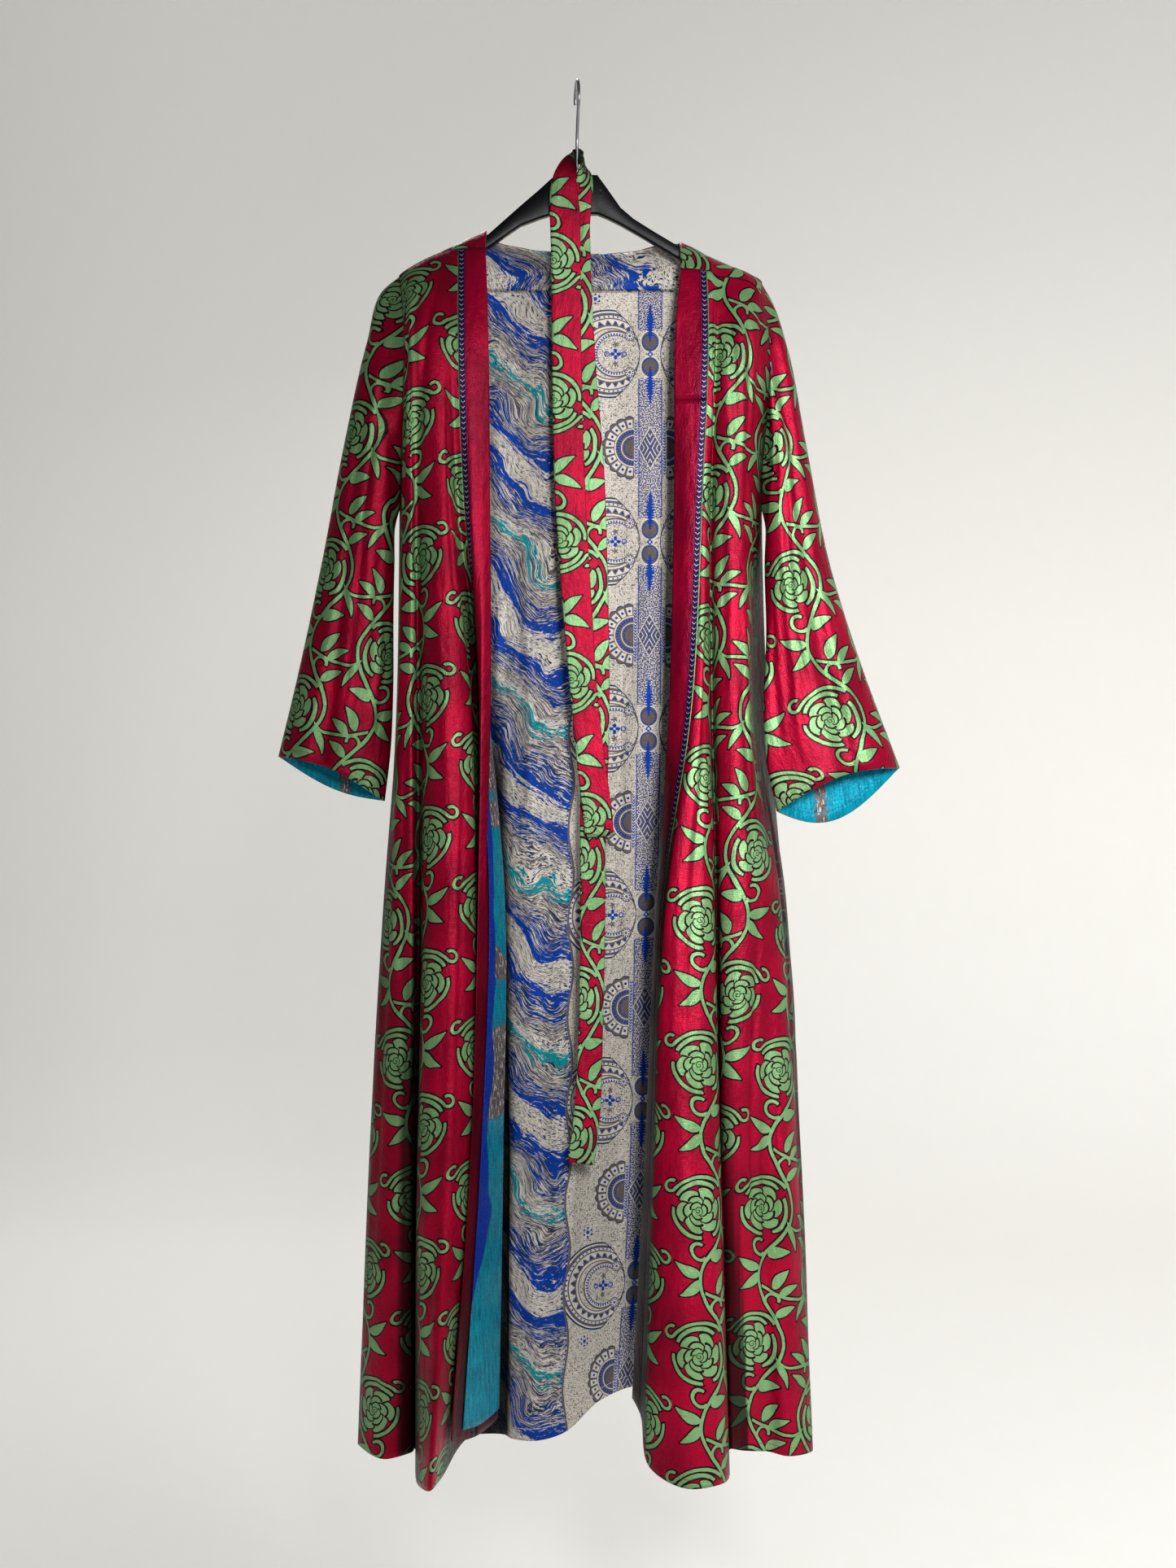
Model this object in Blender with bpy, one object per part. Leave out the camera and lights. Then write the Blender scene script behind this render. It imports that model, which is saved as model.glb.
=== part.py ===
import math

import bmesh
import bpy
import numpy as np

# Lengths in the tables are millimetres. The origin is the inner top of the hook.
# +X is to the right as seen from the front, -Y is the front, +Z is up.
MM = 0.001

# cloth
OUTER_WALL = 1.2
LINING_WALL = 1.0
LAYER_GAP = 0.3
SEAM_GAP = 0.3
ARMHOLE_GAP = 1.0
HEM_TUCK = 9.0
LEVELS = [-246.0, -457.0, -686.0, -879.0, -1143.0]
ARMHOLE_LEVEL = 2
BACK_TOP = -219.0
ROWS_PER_LEVEL = 2
COLUMNS_PER_FOLD = 2

# hanger
WIRE = 3.4
HOOK_RADIUS = 20.0
HOOK_TURN = math.radians(6.0)
HUB_TOP = -101.0
HUB_BOTTOM = -143.5

# Fold lines of a front, from its front edge to its side seam. Each row is a crest or
# a valley followed down the cloth: name, then (x, y, z) at the shoulder seam, (x, y) at
# each of the five levels, and (x, y, z) at the hem.
LEFT_FRONT = [
    ["edge", (-98, -20, -182), (-95, -38), (-92, -48), (-91, -58), (-96, -72), (-104, -82),
     (-127, -82, -1441)],
    ["band fold", (-105, -20, -183), (-103, -40), (-101, -54), (-101, -66), (-103, -79),
     (-110, -89), (-131, -89, -1443)],
    ["band middle", (-113, -19, -183), (-113, -41), (-111, -57), (-103, -54), (-94, -58),
     (-102, -68), (-122, -68, -1450)],
    ["band seam", (-128, -17, -184), (-127, -42), (-120, -52), (-97, -42), (-86, -42),
     (-93, -48), (-109, -46, -1452)],
    ["deep fold", (-132, -15, -184), (-132, -42), (-126, -50), (-96, -32), (-79, -25),
     (-81, -10), (-87, 12, -1447)],
    ["return wall", (-137, -12, -184), (-137, -42), (-130, -57), (-109, -50), (-102, -50),
     (-101, -46), (-119, -28, -1460)],
    ["inner crest", (-141, -8, -184), (-142, -42), (-134, -66), (-114, -76), (-111, -84),
     (-116, -92), (-142, -98, -1483)],
    ["main crest", (-149, -5, -186), (-150, -42), (-140, -68), (-128, -86), (-126, -96),
     (-131, -108), (-150, -122, -1487)],
    ["outer crest", (-161, -5, -191), (-160, -41), (-157, -62), (-154, -76), (-155, -84),
     (-157, -98), (-165, -88, -1492)],
    ["side valley", (-170, -5, -196), (-169, -40), (-171, -50), (-170, -50), (-169, -48),
     (-171, -26), (-176, 6, -1479)],
    ["side column", (-176, -5, -199), (-175, -39), (-175, -54), (-175, -58), (-173, -62),
     (-176, -50), (-179, -22, -1476)],
    ["side crest", (-183, -5, -203), (-180, -37), (-182, -50), (-185, -54), (-188, -58),
     (-199, -46), (-205, -28, -1481)],
    ["side turn", (-187, -5, -206), (-184, -33), (-188, -26), (-192, -26), (-205, -28),
     (-222, -14), (-237, 4, -1474)],
    ["side seam", (-192, -5, -210), (-187, -27), (-192, 2), (-196, 4), (-208, 18),
     (-222, 28), (-235, 40, -1482)],
]

RIGHT_FRONT = [
    ["edge", (111, -32, -208), (107, -40), (103, -50), (97, -58), (84, -50), (73, -28),
     (59, -22, -1417)],
    ["band middle", (121, -32, -208), (121, -42), (116, -58), (107, -68), (85, -68),
     (75, -46), (62, -40, -1418)],
    ["band seam", (139, -32, -210), (140, -43), (133, -61), (120, -76), (90, -85),
     (78, -65), (67, -58, -1425)],
    ["front crest", (142, -32, -210), (142, -43), (135, -61), (123, -79), (96, -95),
     (83, -92), (76, -98, -1470)],
    ["column middle", (144, -32, -211), (144, -43), (137, -60), (131, -80), (118, -98),
     (115, -112), (115, -123, -1485)],
    ["column right", (146, -31, -213), (146, -43), (140, -56), (138, -70), (140, -88),
     (143, -102), (148, -112, -1484)],
    ["deep valley", (151, -30, -216), (150, -41), (143, -44), (144, -50), (148, -56),
     (152, -42), (161, -18, -1478)],
    ["second left", (157, -29, -216), (156, -42), (148, -54), (149, -62), (153, -74),
     (156, -76), (165, -42, -1466)],
    ["second middle", (168, -28, -217), (167, -43), (163, -62), (164, -72), (170, -80),
     (172, -78), (176, -34, -1470)],
    ["second right", (179, -27, -219), (178, -42), (178, -57), (180, -66), (188, -74),
     (190, -66), (193, -26, -1473)],
    ["third left", (185, -27, -221), (184, -40), (184, -48), (186, -48), (199, -64),
     (197, -58), (205, -20, -1475)],
    ["third middle", (190, -27, -225), (190, -37), (190, -36), (189, -32), (209, -52),
     (216, -56), (223, -26, -1478)],
    ["side turn", (194, -27, -230), (195, -33), (196, -20), (196, -10), (221, -26),
     (238, -24), (253, -6, -1479)],
    ["side seam", (197, -26, -235), (200, -27), (200, 2), (208, 14), (224, 12), (239, 26),
     (251, 38, -1478)],
]

# Fold lines of the back, from the left side seam to the right one. The top point is on
# the seam under the yoke.
BACK = [
    ["left seam", (-191, 24, -219), (-191, 19), (-192, 2.5), (-196, 4.5), (-208, 18.5),
     (-223, 28.5), (-235, 40.5, -1482)],
    ["left turn", (-184, 28, -219), (-185, 29), (-190, 30), (-192, 36), (-205, 46),
     (-219, 58), (-231, 70, -1484)],
    ["left rib", (-168, 30, -219), (-169, 31), (-174, 36), (-175, 48), (-177, 58),
     (-185, 72), (-190, 84, -1486)],
    ["left dip", (-146, 31, -219), (-146, 31), (-143, 34), (-143, 42), (-145, 50),
     (-148, 60), (-153, 62, -1484)],
    ["second rib", (-119, 31, -219), (-119, 33), (-116, 40), (-113, 50), (-112, 58),
     (-112, 72), (-114, 84, -1484)],
    ["bulge side", (-97, 31, -219), (-96, 32), (-92, 36), (-86, 42), (-81, 50), (-79, 60),
     (-80, 68, -1480)],
    ["bulge left", (-81, 31, -219), (-80, 31), (-79, 33), (-74, 36), (-71, 38), (-69, 40),
     (-69, 46, -1479)],
    ["bulge", (-53, 31, -219), (-53, 31), (-53, 32), (-51, 32), (-48, 33), (-48, 34),
     (-48, 38, -1479)],
    ["middle", (-8, 31, -219), (-8, 31), (-8, 33), (-9, 35), (-10, 37), (-13, 42),
     (-17, 46, -1473)],
    ["bulge right", (36, 31, -219), (36, 32), (36, 35), (35, 40), (32, 46), (29, 54),
     (26, 60, -1439)],
    ["third rib", (81, 31, -219), (81, 33), (81, 39), (80, 48), (77, 56), (73, 68),
     (69, 78, -1428)],
    ["fourth rib", (117, 31, -219), (116, 33), (114, 42), (112, 54), (111, 62), (111, 76),
     (112, 90, -1440)],
    ["right dip", (143, 31, -219), (143, 32), (142, 37), (142, 45), (144, 50), (149, 58),
     (152, 62, -1460)],
    ["right rib", (170, 30, -219), (170, 32), (171, 40), (174, 52), (179, 60), (189, 72),
     (196, 84, -1475)],
    ["right turn", (195, 28, -219), (195, 29), (196, 32), (206, 40), (217, 46), (233, 58),
     (246, 68, -1482)],
    ["right seam", (203, 24, -219), (203, 19), (200, 2.5), (208, 14.5), (224, 12.5),
     (239, 26.5), (251, 38.5, -1478)],
]

# The yoke from the left shoulder's end to the right one: x on the front seam and on the
# back one, and z on top of the hanger's arm. Between the neck points only the part behind
# the arm is there, and z_neck is its upper edge. Its seams follow the panels' edges.
YOKE = [
    # x_front, x_back, z_top, z_neck
    [-192, -191, -208, -213],
    [-187, -187, -204, -210],
    [-176, -176, -197, -204],
    [-161, -161, -189, -196],
    [-149, -149, -184, -191],
    [-141, -141, -180, -187],
    [-132, -132, -176, -183],
    [-122, -122, -171, -178],
    [-110, -110, -165, -172],
    [-98, -98, -160, -166],
    [-78, -78, -160, -172],
    [-45, -45, -162, -178],
    [-8, -8, -166, -181],
    [28, 28, -168, -182],
    [64, 64, -170, -179],
    [92, 92, -171, -171],
    [111, 111, -172, -171],
    [125, 125, -178, -179],
    [140, 141, -187, -188],
    [151, 153, -192, -193],
    [164, 167, -198, -199],
    [179, 183, -204, -206],
    [188, 193, -209, -212],
    [194, 199, -212, -216],
    [197, 203, -215, -218],
]
YOKE_STEPS = [0, 0.2, 0.5, 0.8, 0.95, 1]
NECK_LEFT = 9
NECK_RIGHT = 16

# A sleeve from its armhole to its cuff: the point of its upper fold, the point of its
# under fold, how far its front and back stand out, and how far the edge sags.
LEFT_SLEEVE = [
    # x_top, z_top, x_under, z_under, y_under, y_front, y_back, sag_front, sag_back
    [-210, -225, -196, -478, 0, -29, 25, 0, 0],
    [-227, -280, -197, -519, -2, -32, 24, 0, 0],
    [-251, -387, -198, -580, -4, -34, 22, 0, 2],
    [-276, -519, -200, -651, -6, -36, 20, 2, 4],
    [-301, -637, -204, -725, -8, -37, 18, 6, 7],
    [-323, -729, -212, -777, -9, -37, 17, 11, 11],
]
RIGHT_SLEEVE = [
    # x_top, z_top, x_under, z_under, y_under, y_front, y_back, sag_front, sag_back
    [211, -237, 204, -478, -2, -30, 25, 0, 0],
    [227, -285, 204, -528, -10, -34, 22, 0, 2],
    [247, -387, 203, -598, -20, -38, 18, 0, 6],
    [273, -519, 200, -659, -29, -42, 14, 3, 13],
    [304, -620, 202, -730, -30, -44, 14, 8, 23],
    [349, -741, 214, -788, -24, -44, 18, 14, 33],
]
SLEEVE_COLUMNS = 24
SLEEVE_ROWS = 10
SLEEVE_LINING_ROW = 2
SLEEVE_FOLD_DEPTH = 9.0
SLEEVE_FOLD_START = 0.10
SLEEVE_FOLD_END = 0.42
SLEEVE_FOLD_WIDTH = 0.10

# The hanger's outline: x, upper z and lower z.
HANGER_ARMS = [
    [-187, -216, -226, 4.0],
    [-176, -204, -217, 4.8],
    [-150, -190, -205, 5.2],
    [-124, -178, -193, 5.4],
    [-96, -165, -180, 5.6],
    [-61, -134, -156, 5.8],
    [-40, -116, -148, 6.0],
    [-27, -104, -144, 6.0],
    [-20, HUB_TOP, HUB_BOTTOM, 6.0],
    [0, HUB_TOP + 1, HUB_BOTTOM, 6.0],
    [22, HUB_TOP, HUB_BOTTOM, 6.0],
    [33, -116, -148, 6.0],
    [47, -136, -155, 5.8],
    [61, -148, -163, 5.6],
    [80, -160, -174, 5.6],
    [105, -175, -189, 5.4],
    [124, -185, -199, 5.2],
    [150, -198, -212, 5.0],
    [176, -210, -222, 4.8],
    [190, -220, -229, 4.0],
]

# The belt as one strip, from the end of the short strand, up over the hook's foot and
# down to the end of the long one: centre x, y, z, half width and half thickness, and
# the way its width points, as an angle from +X.
BELT = [
    # x, y, z, half_width, half_thick, angle
    [24, -27, -815, 15.8, 1.1, 0],
    [22, -27, -790, 15.7, 1.1, 0],
    [17, -27, -750, 15.4, 1.1, 0],
    [9, -26, -678, 14.3, 1.1, 0],
    [0, -25, -563, 15.8, 1.1, 0],
    [-8, -23, -430, 16.5, 1.1, 0],
    [-11, -21, -297, 15.8, 1.1, 0],
    [-12, -19.5, -190, 15.8, 1.1, 0],
    [-13, -18.5, -145, 16.5, 1.2, 0],
    [-14, -17.5, -122, 15.0, 1.4, -4],
    [-13, -16, -106, 11.0, 1.8, -16],
    [-9.5, -12.5, -95, 7.6, 2.3, -35],
    [-6.6, -7.2, -88, 6.4, 2.4, -62],
    [-4.9, -1, -83, 6.2, 2.3, -88],
    [-3.2, 3.2, -80, 6.2, 2.2, -92],
    [0, 4.4, -79, 6.2, 2.2, -90],
    [3.4, 3.0, -80, 6.2, 2.2, -88],
    [5.1, -1, -84, 6.2, 2.2, -84],
    [7.0, -5.6, -91, 6.6, 2.1, -74],
    [8.4, -9.8, -101, 7.8, 1.9, -50],
    [7.2, -11.8, -113, 10.5, 1.6, -20],
    [2.5, -12.8, -128, 14.0, 1.3, 0],
    [-1, -13.2, -148, 15.8, 1.1, 0],
    [-1, -13.8, -190, 15.8, 1.1, 0],
    [4, -15, -297, 15.8, 1.1, 0],
    [14, -17, -430, 15.8, 1.1, 0],
    [18, -19, -563, 15.8, 1.1, 0],
    [20, -20, -670, 15.2, 1.1, 0],
    [19, -20, -730, 15.0, 1.1, 0],
    [17, -20, -826, 13.8, 1.1, 0],
    [17, -20, -882, 13.6, 1.1, 0],
    [15, -20, -1014, 13.0, 1.1, 0],
    [10, -20, -1121, 14.2, 1.1, 0],
    [4, -20, -1166, 14.6, 1.1, 0],
]

CRIMSON = (0.42, 0.010, 0.045, 1)
BAND_RED = (0.36, 0.008, 0.05, 1)
LINING_BLUE = (0.05, 0.13, 0.36, 1)
LINING_TEAL = (0.0, 0.26, 0.32, 1)
BLACK_PLASTIC = (0.012, 0.012, 0.013, 1)
STEEL = (0.55, 0.55, 0.57, 1)


def between(before, start, end, after, h0, h1, h2, part):
    # a smooth curve through start and end whose slope there comes from the neighbours
    d0 = (start - before) / h0
    d1 = (end - start) / h1
    d2 = (after - end) / h2
    m1 = (d0 * h1 + d1 * h0) / (h0 + h1) * h1
    m2 = (d1 * h2 + d2 * h1) / (h1 + h2) * h1
    t = part
    return (
        start * (2 * t**3 - 3 * t**2 + 1)
        + m1 * (t**3 - 2 * t**2 + t)
        + end * (3 * t**2 - 2 * t**3)
        + m2 * (t**3 - t**2)
    )


def along(points, position):
    # the point at a position along each line of points, counted in points
    count = points.shape[1]
    i = np.clip(np.floor(position).astype(int), 0, count - 2)
    rows = np.arange(len(points))
    p = [points[rows, np.clip(i + k, 0, count - 1)] for k in (-1, 0, 1, 2)]
    first = (i == 0)[:, None]
    last = (i == count - 2)[:, None]
    p[0] = np.where(first, 2 * p[1] - p[2], p[0])
    p[3] = np.where(last, 2 * p[2] - p[1], p[3])
    h = [np.linalg.norm(p[k + 1] - p[k], axis=1)[:, None] + 1e-6 for k in range(3)]
    return between(*p, *h, (position - i)[:, None])


def fold_lines(table):
    # each fold line as points (x, y, z) from its top to the hem
    lines = []
    for row in table:
        middle = [(x, y, z) for (x, y), z in zip(row[2:-1], LEVELS)]
        lines.append([row[1], *middle, row[-1]])
    return np.array(lines, float)


def panel_points(table, columns, rows):
    # a grid of points on the cloth's outer face: columns in fold lines, rows in levels
    lines = fold_lines(table)
    grid = np.zeros((len(rows), len(columns), 3))
    for j, row in enumerate(rows):
        here = along(lines, np.full(len(lines), row))
        grid[j] = along(np.repeat(here[None], len(columns), 0), np.array(columns, float))
    return grid


def spaced(first, last, per_step):
    return np.linspace(first, last, int(round((last - first) * per_step)) + 1)


def normals(grid, closed=False):
    # the outward direction at each point of a grid
    if closed:
        ring = np.concatenate([grid[:, -2:-1], grid, grid[:, 1:2]], 1)
        du = ring[:, 2:] - ring[:, :-2]
    else:
        du = np.gradient(grid, axis=1)
    dw = np.gradient(grid, axis=0)
    n = np.cross(du, dw)
    return n / (np.linalg.norm(n, axis=2, keepdims=True) + 1e-12)


def shorten(grid, left=0.0, right=0.0, top=0.0, bottom=0.0):
    # draws the edges of a grid in by a length
    g = grid.copy()

    def pull(edge, neighbour, amount):
        d = neighbour - edge
        return edge + d / np.linalg.norm(d, axis=-1, keepdims=True) * amount

    if left:
        g[:, 0] = pull(g[:, 0], g[:, 1], left)
    if right:
        g[:, -1] = pull(g[:, -1], g[:, -2], right)
    if top:
        g[0] = pull(g[0], g[1], top)
    if bottom:
        g[-1] = pull(g[-1], g[-2], bottom)
    return g


def material(name, colour, roughness, metallic=0.0):
    m = bpy.data.materials.new(name)
    m.use_nodes = True
    shader = m.node_tree.nodes["Principled BSDF"]
    shader.inputs["Base Color"].default_value = colour
    shader.inputs["Roughness"].default_value = roughness
    shader.inputs["Metallic"].default_value = metallic
    m.diffuse_color = colour
    return m


def add_object(name, mesh, look):
    mesh.materials.append(look)
    mesh.shade_smooth()
    mesh.set_sharp_from_angle(angle=math.radians(50))
    obj = bpy.data.objects.new(name, mesh)
    bpy.context.collection.objects.link(obj)
    return obj


def cloth(name, outer, inner, look, closed=False, keep=None):
    # a wall of cloth: a flat grid moved to the outer points and extruded to the inner ones
    rows, columns = outer.shape[0] - 1, outer.shape[1] - 1
    bm = bmesh.new()
    bmesh.ops.create_grid(bm, x_segments=columns, y_segments=rows, size=0.5)
    place = {}
    for v in bm.verts:
        place[v] = (round((v.co.x + 0.5) * columns), round((v.co.y + 0.5) * rows))
    if keep is not None:
        gone = [f for f in bm.faces if not keep(*np.mean([place[v] for v in f.verts], 0))]
        bmesh.ops.delete(bm, geom=gone, context="FACES")
    for v in bm.verts:
        i, j = place[v]
        v.co = outer[j, i] * MM
    if closed:
        bmesh.ops.remove_doubles(bm, verts=bm.verts, dist=1e-6)
    under = {tuple(v.co): place[v] for v in bm.verts}
    made = bmesh.ops.extrude_face_region(bm, geom=bm.faces[:], use_keep_orig=True)
    for v in made["geom"]:
        if isinstance(v, bmesh.types.BMVert):
            i, j = under[tuple(v.co)]
            v.co = inner[j, i] * MM
    bmesh.ops.recalc_face_normals(bm, faces=bm.faces)
    mesh = bpy.data.meshes.new(name)
    bm.to_mesh(mesh)
    bm.free()
    return add_object(name, mesh, look)


def walls(grid, direction, wall=OUTER_WALL, start=0.0, **ends):
    # the two faces of a wall, a layer's distance in from the garment's outer face
    outer = grid - direction * start
    inner = outer - direction * wall
    return shorten(outer, **ends), shorten(inner, **ends)


def tube(name, sections, look):
    # a solid through rings of the same count, closed by a flat cap at each end
    bm = bmesh.new()
    rings = [[bm.verts.new(p * MM) for p in ring] for ring in sections]
    edges = []
    for ring in rings:
        edges.append([bm.edges.new((a, b)) for a, b in zip(ring, ring[1:] + ring[:1])])
    for lower, upper in zip(edges, edges[1:]):
        bmesh.ops.bridge_loops(bm, edges=lower + upper)
    for ring in (rings[0], rings[-1]):
        bm.faces.new(ring)
    bmesh.ops.recalc_face_normals(bm, faces=bm.faces)
    mesh = bpy.data.meshes.new(name)
    bm.to_mesh(mesh)
    bm.free()
    return add_object(name, mesh, look)


def panel_grid(table, outward):
    rows = spaced(0, len(LEVELS) + 1, ROWS_PER_LEVEL)
    columns = spaced(0, len(table) - 1, COLUMNS_PER_FOLD)
    grid = panel_points(table, columns, rows)
    return grid, normals(grid) * outward


def sew(front, front_way, back, back_way, column, beside):
    # below the armhole the back's edge runs beside the front's, and both walls there
    # lie in one direction
    r = ARMHOLE_LEVEL * ROWS_PER_LEVEL
    ahead = back[r:, beside] - front[r:, -1]
    ahead /= np.linalg.norm(ahead, axis=1, keepdims=True)
    back[r:, column] = front[r:, -1] + ahead * SEAM_GAP
    mean = front_way[r:, -1] + back_way[r:, column]
    mean /= np.linalg.norm(mean, axis=1, keepdims=True)
    front_way[r:, -1] = mean
    back_way[r:, column] = mean


def make_front(side, grid, direction, seam):
    # the front panel and the lining inside it; the band's part is handed back
    split = seam * COLUMNS_PER_FOLD
    panel = walls(grid[:, split:], direction[:, split:], left=SEAM_GAP / 2, top=SEAM_GAP)
    cloth(f"front_{side}", *panel, looks["crimson"])
    first = (seam - 1) * COLUMNS_PER_FOLD
    inner = walls(grid[:, first:], direction[:, first:], LINING_WALL, OUTER_WALL + LAYER_GAP,
                  top=SEAM_GAP, bottom=HEM_TUCK, right=SEAM_GAP)
    cloth(f"lining_front_{side}", *inner, looks["teal"])
    return grid[:, : split + 1], direction[:, : split + 1]


def make_back(grid, direction):
    cloth("back_panel", *walls(grid, direction, top=SEAM_GAP), looks["crimson"])
    inner = walls(grid, direction, LINING_WALL, OUTER_WALL + LAYER_GAP,
                  left=0.4, right=0.4, top=3.0, bottom=HEM_TUCK)
    cloth("lining_back", *inner, looks["blue"])


def make_yoke(fronts, back):
    x_front, x_back, z_top, z_neck = np.array(YOKE, float).T
    count = len(x_front)
    edge = np.concatenate([fronts[0][0][0, ::-1], fronts[1][0][0]])
    y_front = np.interp(x_front, edge[:, 0], edge[:, 1])
    z_front = np.interp(x_front, edge[:, 0], edge[:, 2])
    seam_lines = fold_lines(BACK)[:, 0]
    seam = along(np.repeat(seam_lines[None], count, 0),
                 np.interp(x_back, seam_lines[:, 0], np.arange(len(BACK))))
    # front seam, part way up, on the arm, behind it, half way down, and the back seam
    y_rows = [y_front, y_front * 0.62, 0 * z_top + 1, 0 * z_top + 15, seam[:, 1] * 0.9,
              seam[:, 1]]
    z_rows = [z_front, z_front + (z_top - z_front) * 0.62, z_top, z_neck,
              z_neck * 0.45 + BACK_TOP * 0.55, seam[:, 2]]
    key = []
    for step, y, z in zip(YOKE_STEPS, y_rows, z_rows):
        key.append(np.stack([x_front + (x_back - x_front) * step, y, z], 1))
    key = np.array(key).transpose(1, 0, 2)
    steps = np.arange(0, 5.1, 0.5)
    grid = np.array([along(key, np.full(count, step)) for step in steps])
    direction = normals(grid)
    # the walls meet the panels' walls at one direction
    for panel, way in fronts:
        x = panel[0, :, 0]
        order = np.argsort(x)
        inside = (x_front >= x.min() - 3) & (x_front <= x.max() + 3)
        for k in range(3):
            values = np.interp(x_front, x[order], way[0, order, k])
            direction[0, inside, k] = values[inside]
    for k in range(3):
        direction[-1, :, k] = np.interp(x_back, back[0][0, :, 0], back[1][0, :, k])
    direction /= np.linalg.norm(direction, axis=2, keepdims=True)
    neck_row = list(steps).index(3.0)

    def keep(i, j):
        return j > neck_row or i < NECK_LEFT or i > NECK_RIGHT

    cloth("yoke", *walls(grid, direction, top=3 * SEAM_GAP, bottom=SEAM_GAP),
          looks["crimson"], keep=keep)
    inner = walls(grid, direction, LINING_WALL, OUTER_WALL + LAYER_GAP,
                  left=1.0, right=1.0, top=1.8, bottom=1.2)
    cloth("lining_yoke", *inner, looks["blue"], keep=keep)
    return grid


def make_hanger():
    sections = []
    for x, upper, lower, half in HANGER_ARMS:
        r = 1.8
        ring = []
        for cy, cz, start in ((half - r, upper - r, 0), (-half + r, upper - r, 90),
                              (-half + r, lower + r, 180), (half - r, lower + r, 270)):
            for step in (15, 75):
                a = math.radians(start + step)
                ring.append(np.array([x, cy + r * math.cos(a), cz + r * math.sin(a)]))
        sections.append(ring)
    tube("hanger_body", sections, looks["plastic"])


def hook_path():
    # from the hub up the shank, round the front and over the top to the tip
    r = HOOK_RADIUS
    centre = -(r - WIRE / 2)
    line = [(0.0, HUB_TOP + 1 + LAYER_GAP), (0.0, -78.0), (-0.6, -62.0), (-4.5, -51.0)]
    for angle in range(-128, -450, -18):
        a = math.radians(angle)
        # measured from +Y, going over the front
        line.append((r * math.cos(a), centre + r * math.sin(a)))
        if angle <= -326 - 36:
            break
    line = [(y, z) for y, z in line]
    return line


def make_hook():
    points = [np.array([-y * math.sin(HOOK_TURN), y, z]) for y, z in hook_path()]
    side = np.array([math.cos(HOOK_TURN), math.sin(HOOK_TURN), 0.0])
    sections = []
    for k, p in enumerate(points):
        ahead = points[min(k + 1, len(points) - 1)]
        behind = points[max(k - 1, 0)]
        d = (ahead - behind) / np.linalg.norm(ahead - behind)
        up = np.cross(d, side)
        ring = []
        for n in range(8):
            a = math.tau * n / 8
            ring.append(p + (side * math.cos(a) + up * math.sin(a)) * WIRE / 2)
        sections.append(ring)
    tube("hanger_hook", sections, looks["steel"])


def make_belt():
    t = np.array(BELT, float)
    centre = t[:, :3]
    sections = []
    for k, (x, y, z, half, thick, angle) in enumerate(t):
        d = centre[min(k + 1, len(t) - 1)] - centre[max(k - 1, 0)]
        d = d / np.linalg.norm(d)
        a = math.radians(angle)
        # the width lies square to the belt's run, from left-right to up-down at the wrap
        wide = np.array([math.cos(a), 0.0, math.sin(a)])
        wide = wide - d * wide.dot(d)
        wide = wide / np.linalg.norm(wide)
        deep = np.cross(wide, d)
        ring = []
        for across, thickness in ((-1, 0.5), (-0.5, 1), (0.5, 1), (1, 0.5),
                                  (1, -0.5), (0.5, -1), (-0.5, -1), (-1, -0.5)):
            ring.append(centre[k] + wide * across * half + deep * thickness * thick)
        sections.append(ring)
    tube("belt", sections, looks["crimson"])


def armhole(front, back, yoke_end, count):
    # the loop that a sleeve is sewn to, from the shoulder's top down the front, round the
    # underarm and up the back
    front_line = fold_lines(front)[-1:]
    back_line = back[None]
    down = [along(front_line, np.array([s]))[0] for s in np.linspace(0, ARMHOLE_LEVEL, 13)]
    up = [along(back_line, np.array([s]))[0] for s in np.linspace(ARMHOLE_LEVEL, 0, 13)]
    over = list(yoke_end)
    top = int(np.argmax([p[2] for p in over]))
    loop = over[top::-1] + down + up + over[:top - 1:-1]
    loop = np.array(loop)
    keep = [0]
    for k in range(1, len(loop)):
        if np.linalg.norm(loop[k] - loop[keep[-1]]) > 0.5:
            keep.append(k)
    loop = loop[keep]
    low = int(np.argmin(loop[:, 2]))
    halves = []
    for half in (loop[: low + 1], loop[low:]):
        step = np.linalg.norm(np.diff(half, axis=0), axis=1)
        s = np.concatenate([[0], np.cumsum(step)])
        at = np.linspace(0, s[-1], count // 2 + 1)
        halves.append(np.stack([np.interp(at, s, half[:, k]) for k in range(3)], 1))
    return np.concatenate([halves[0], halves[1][1:]])


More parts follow.
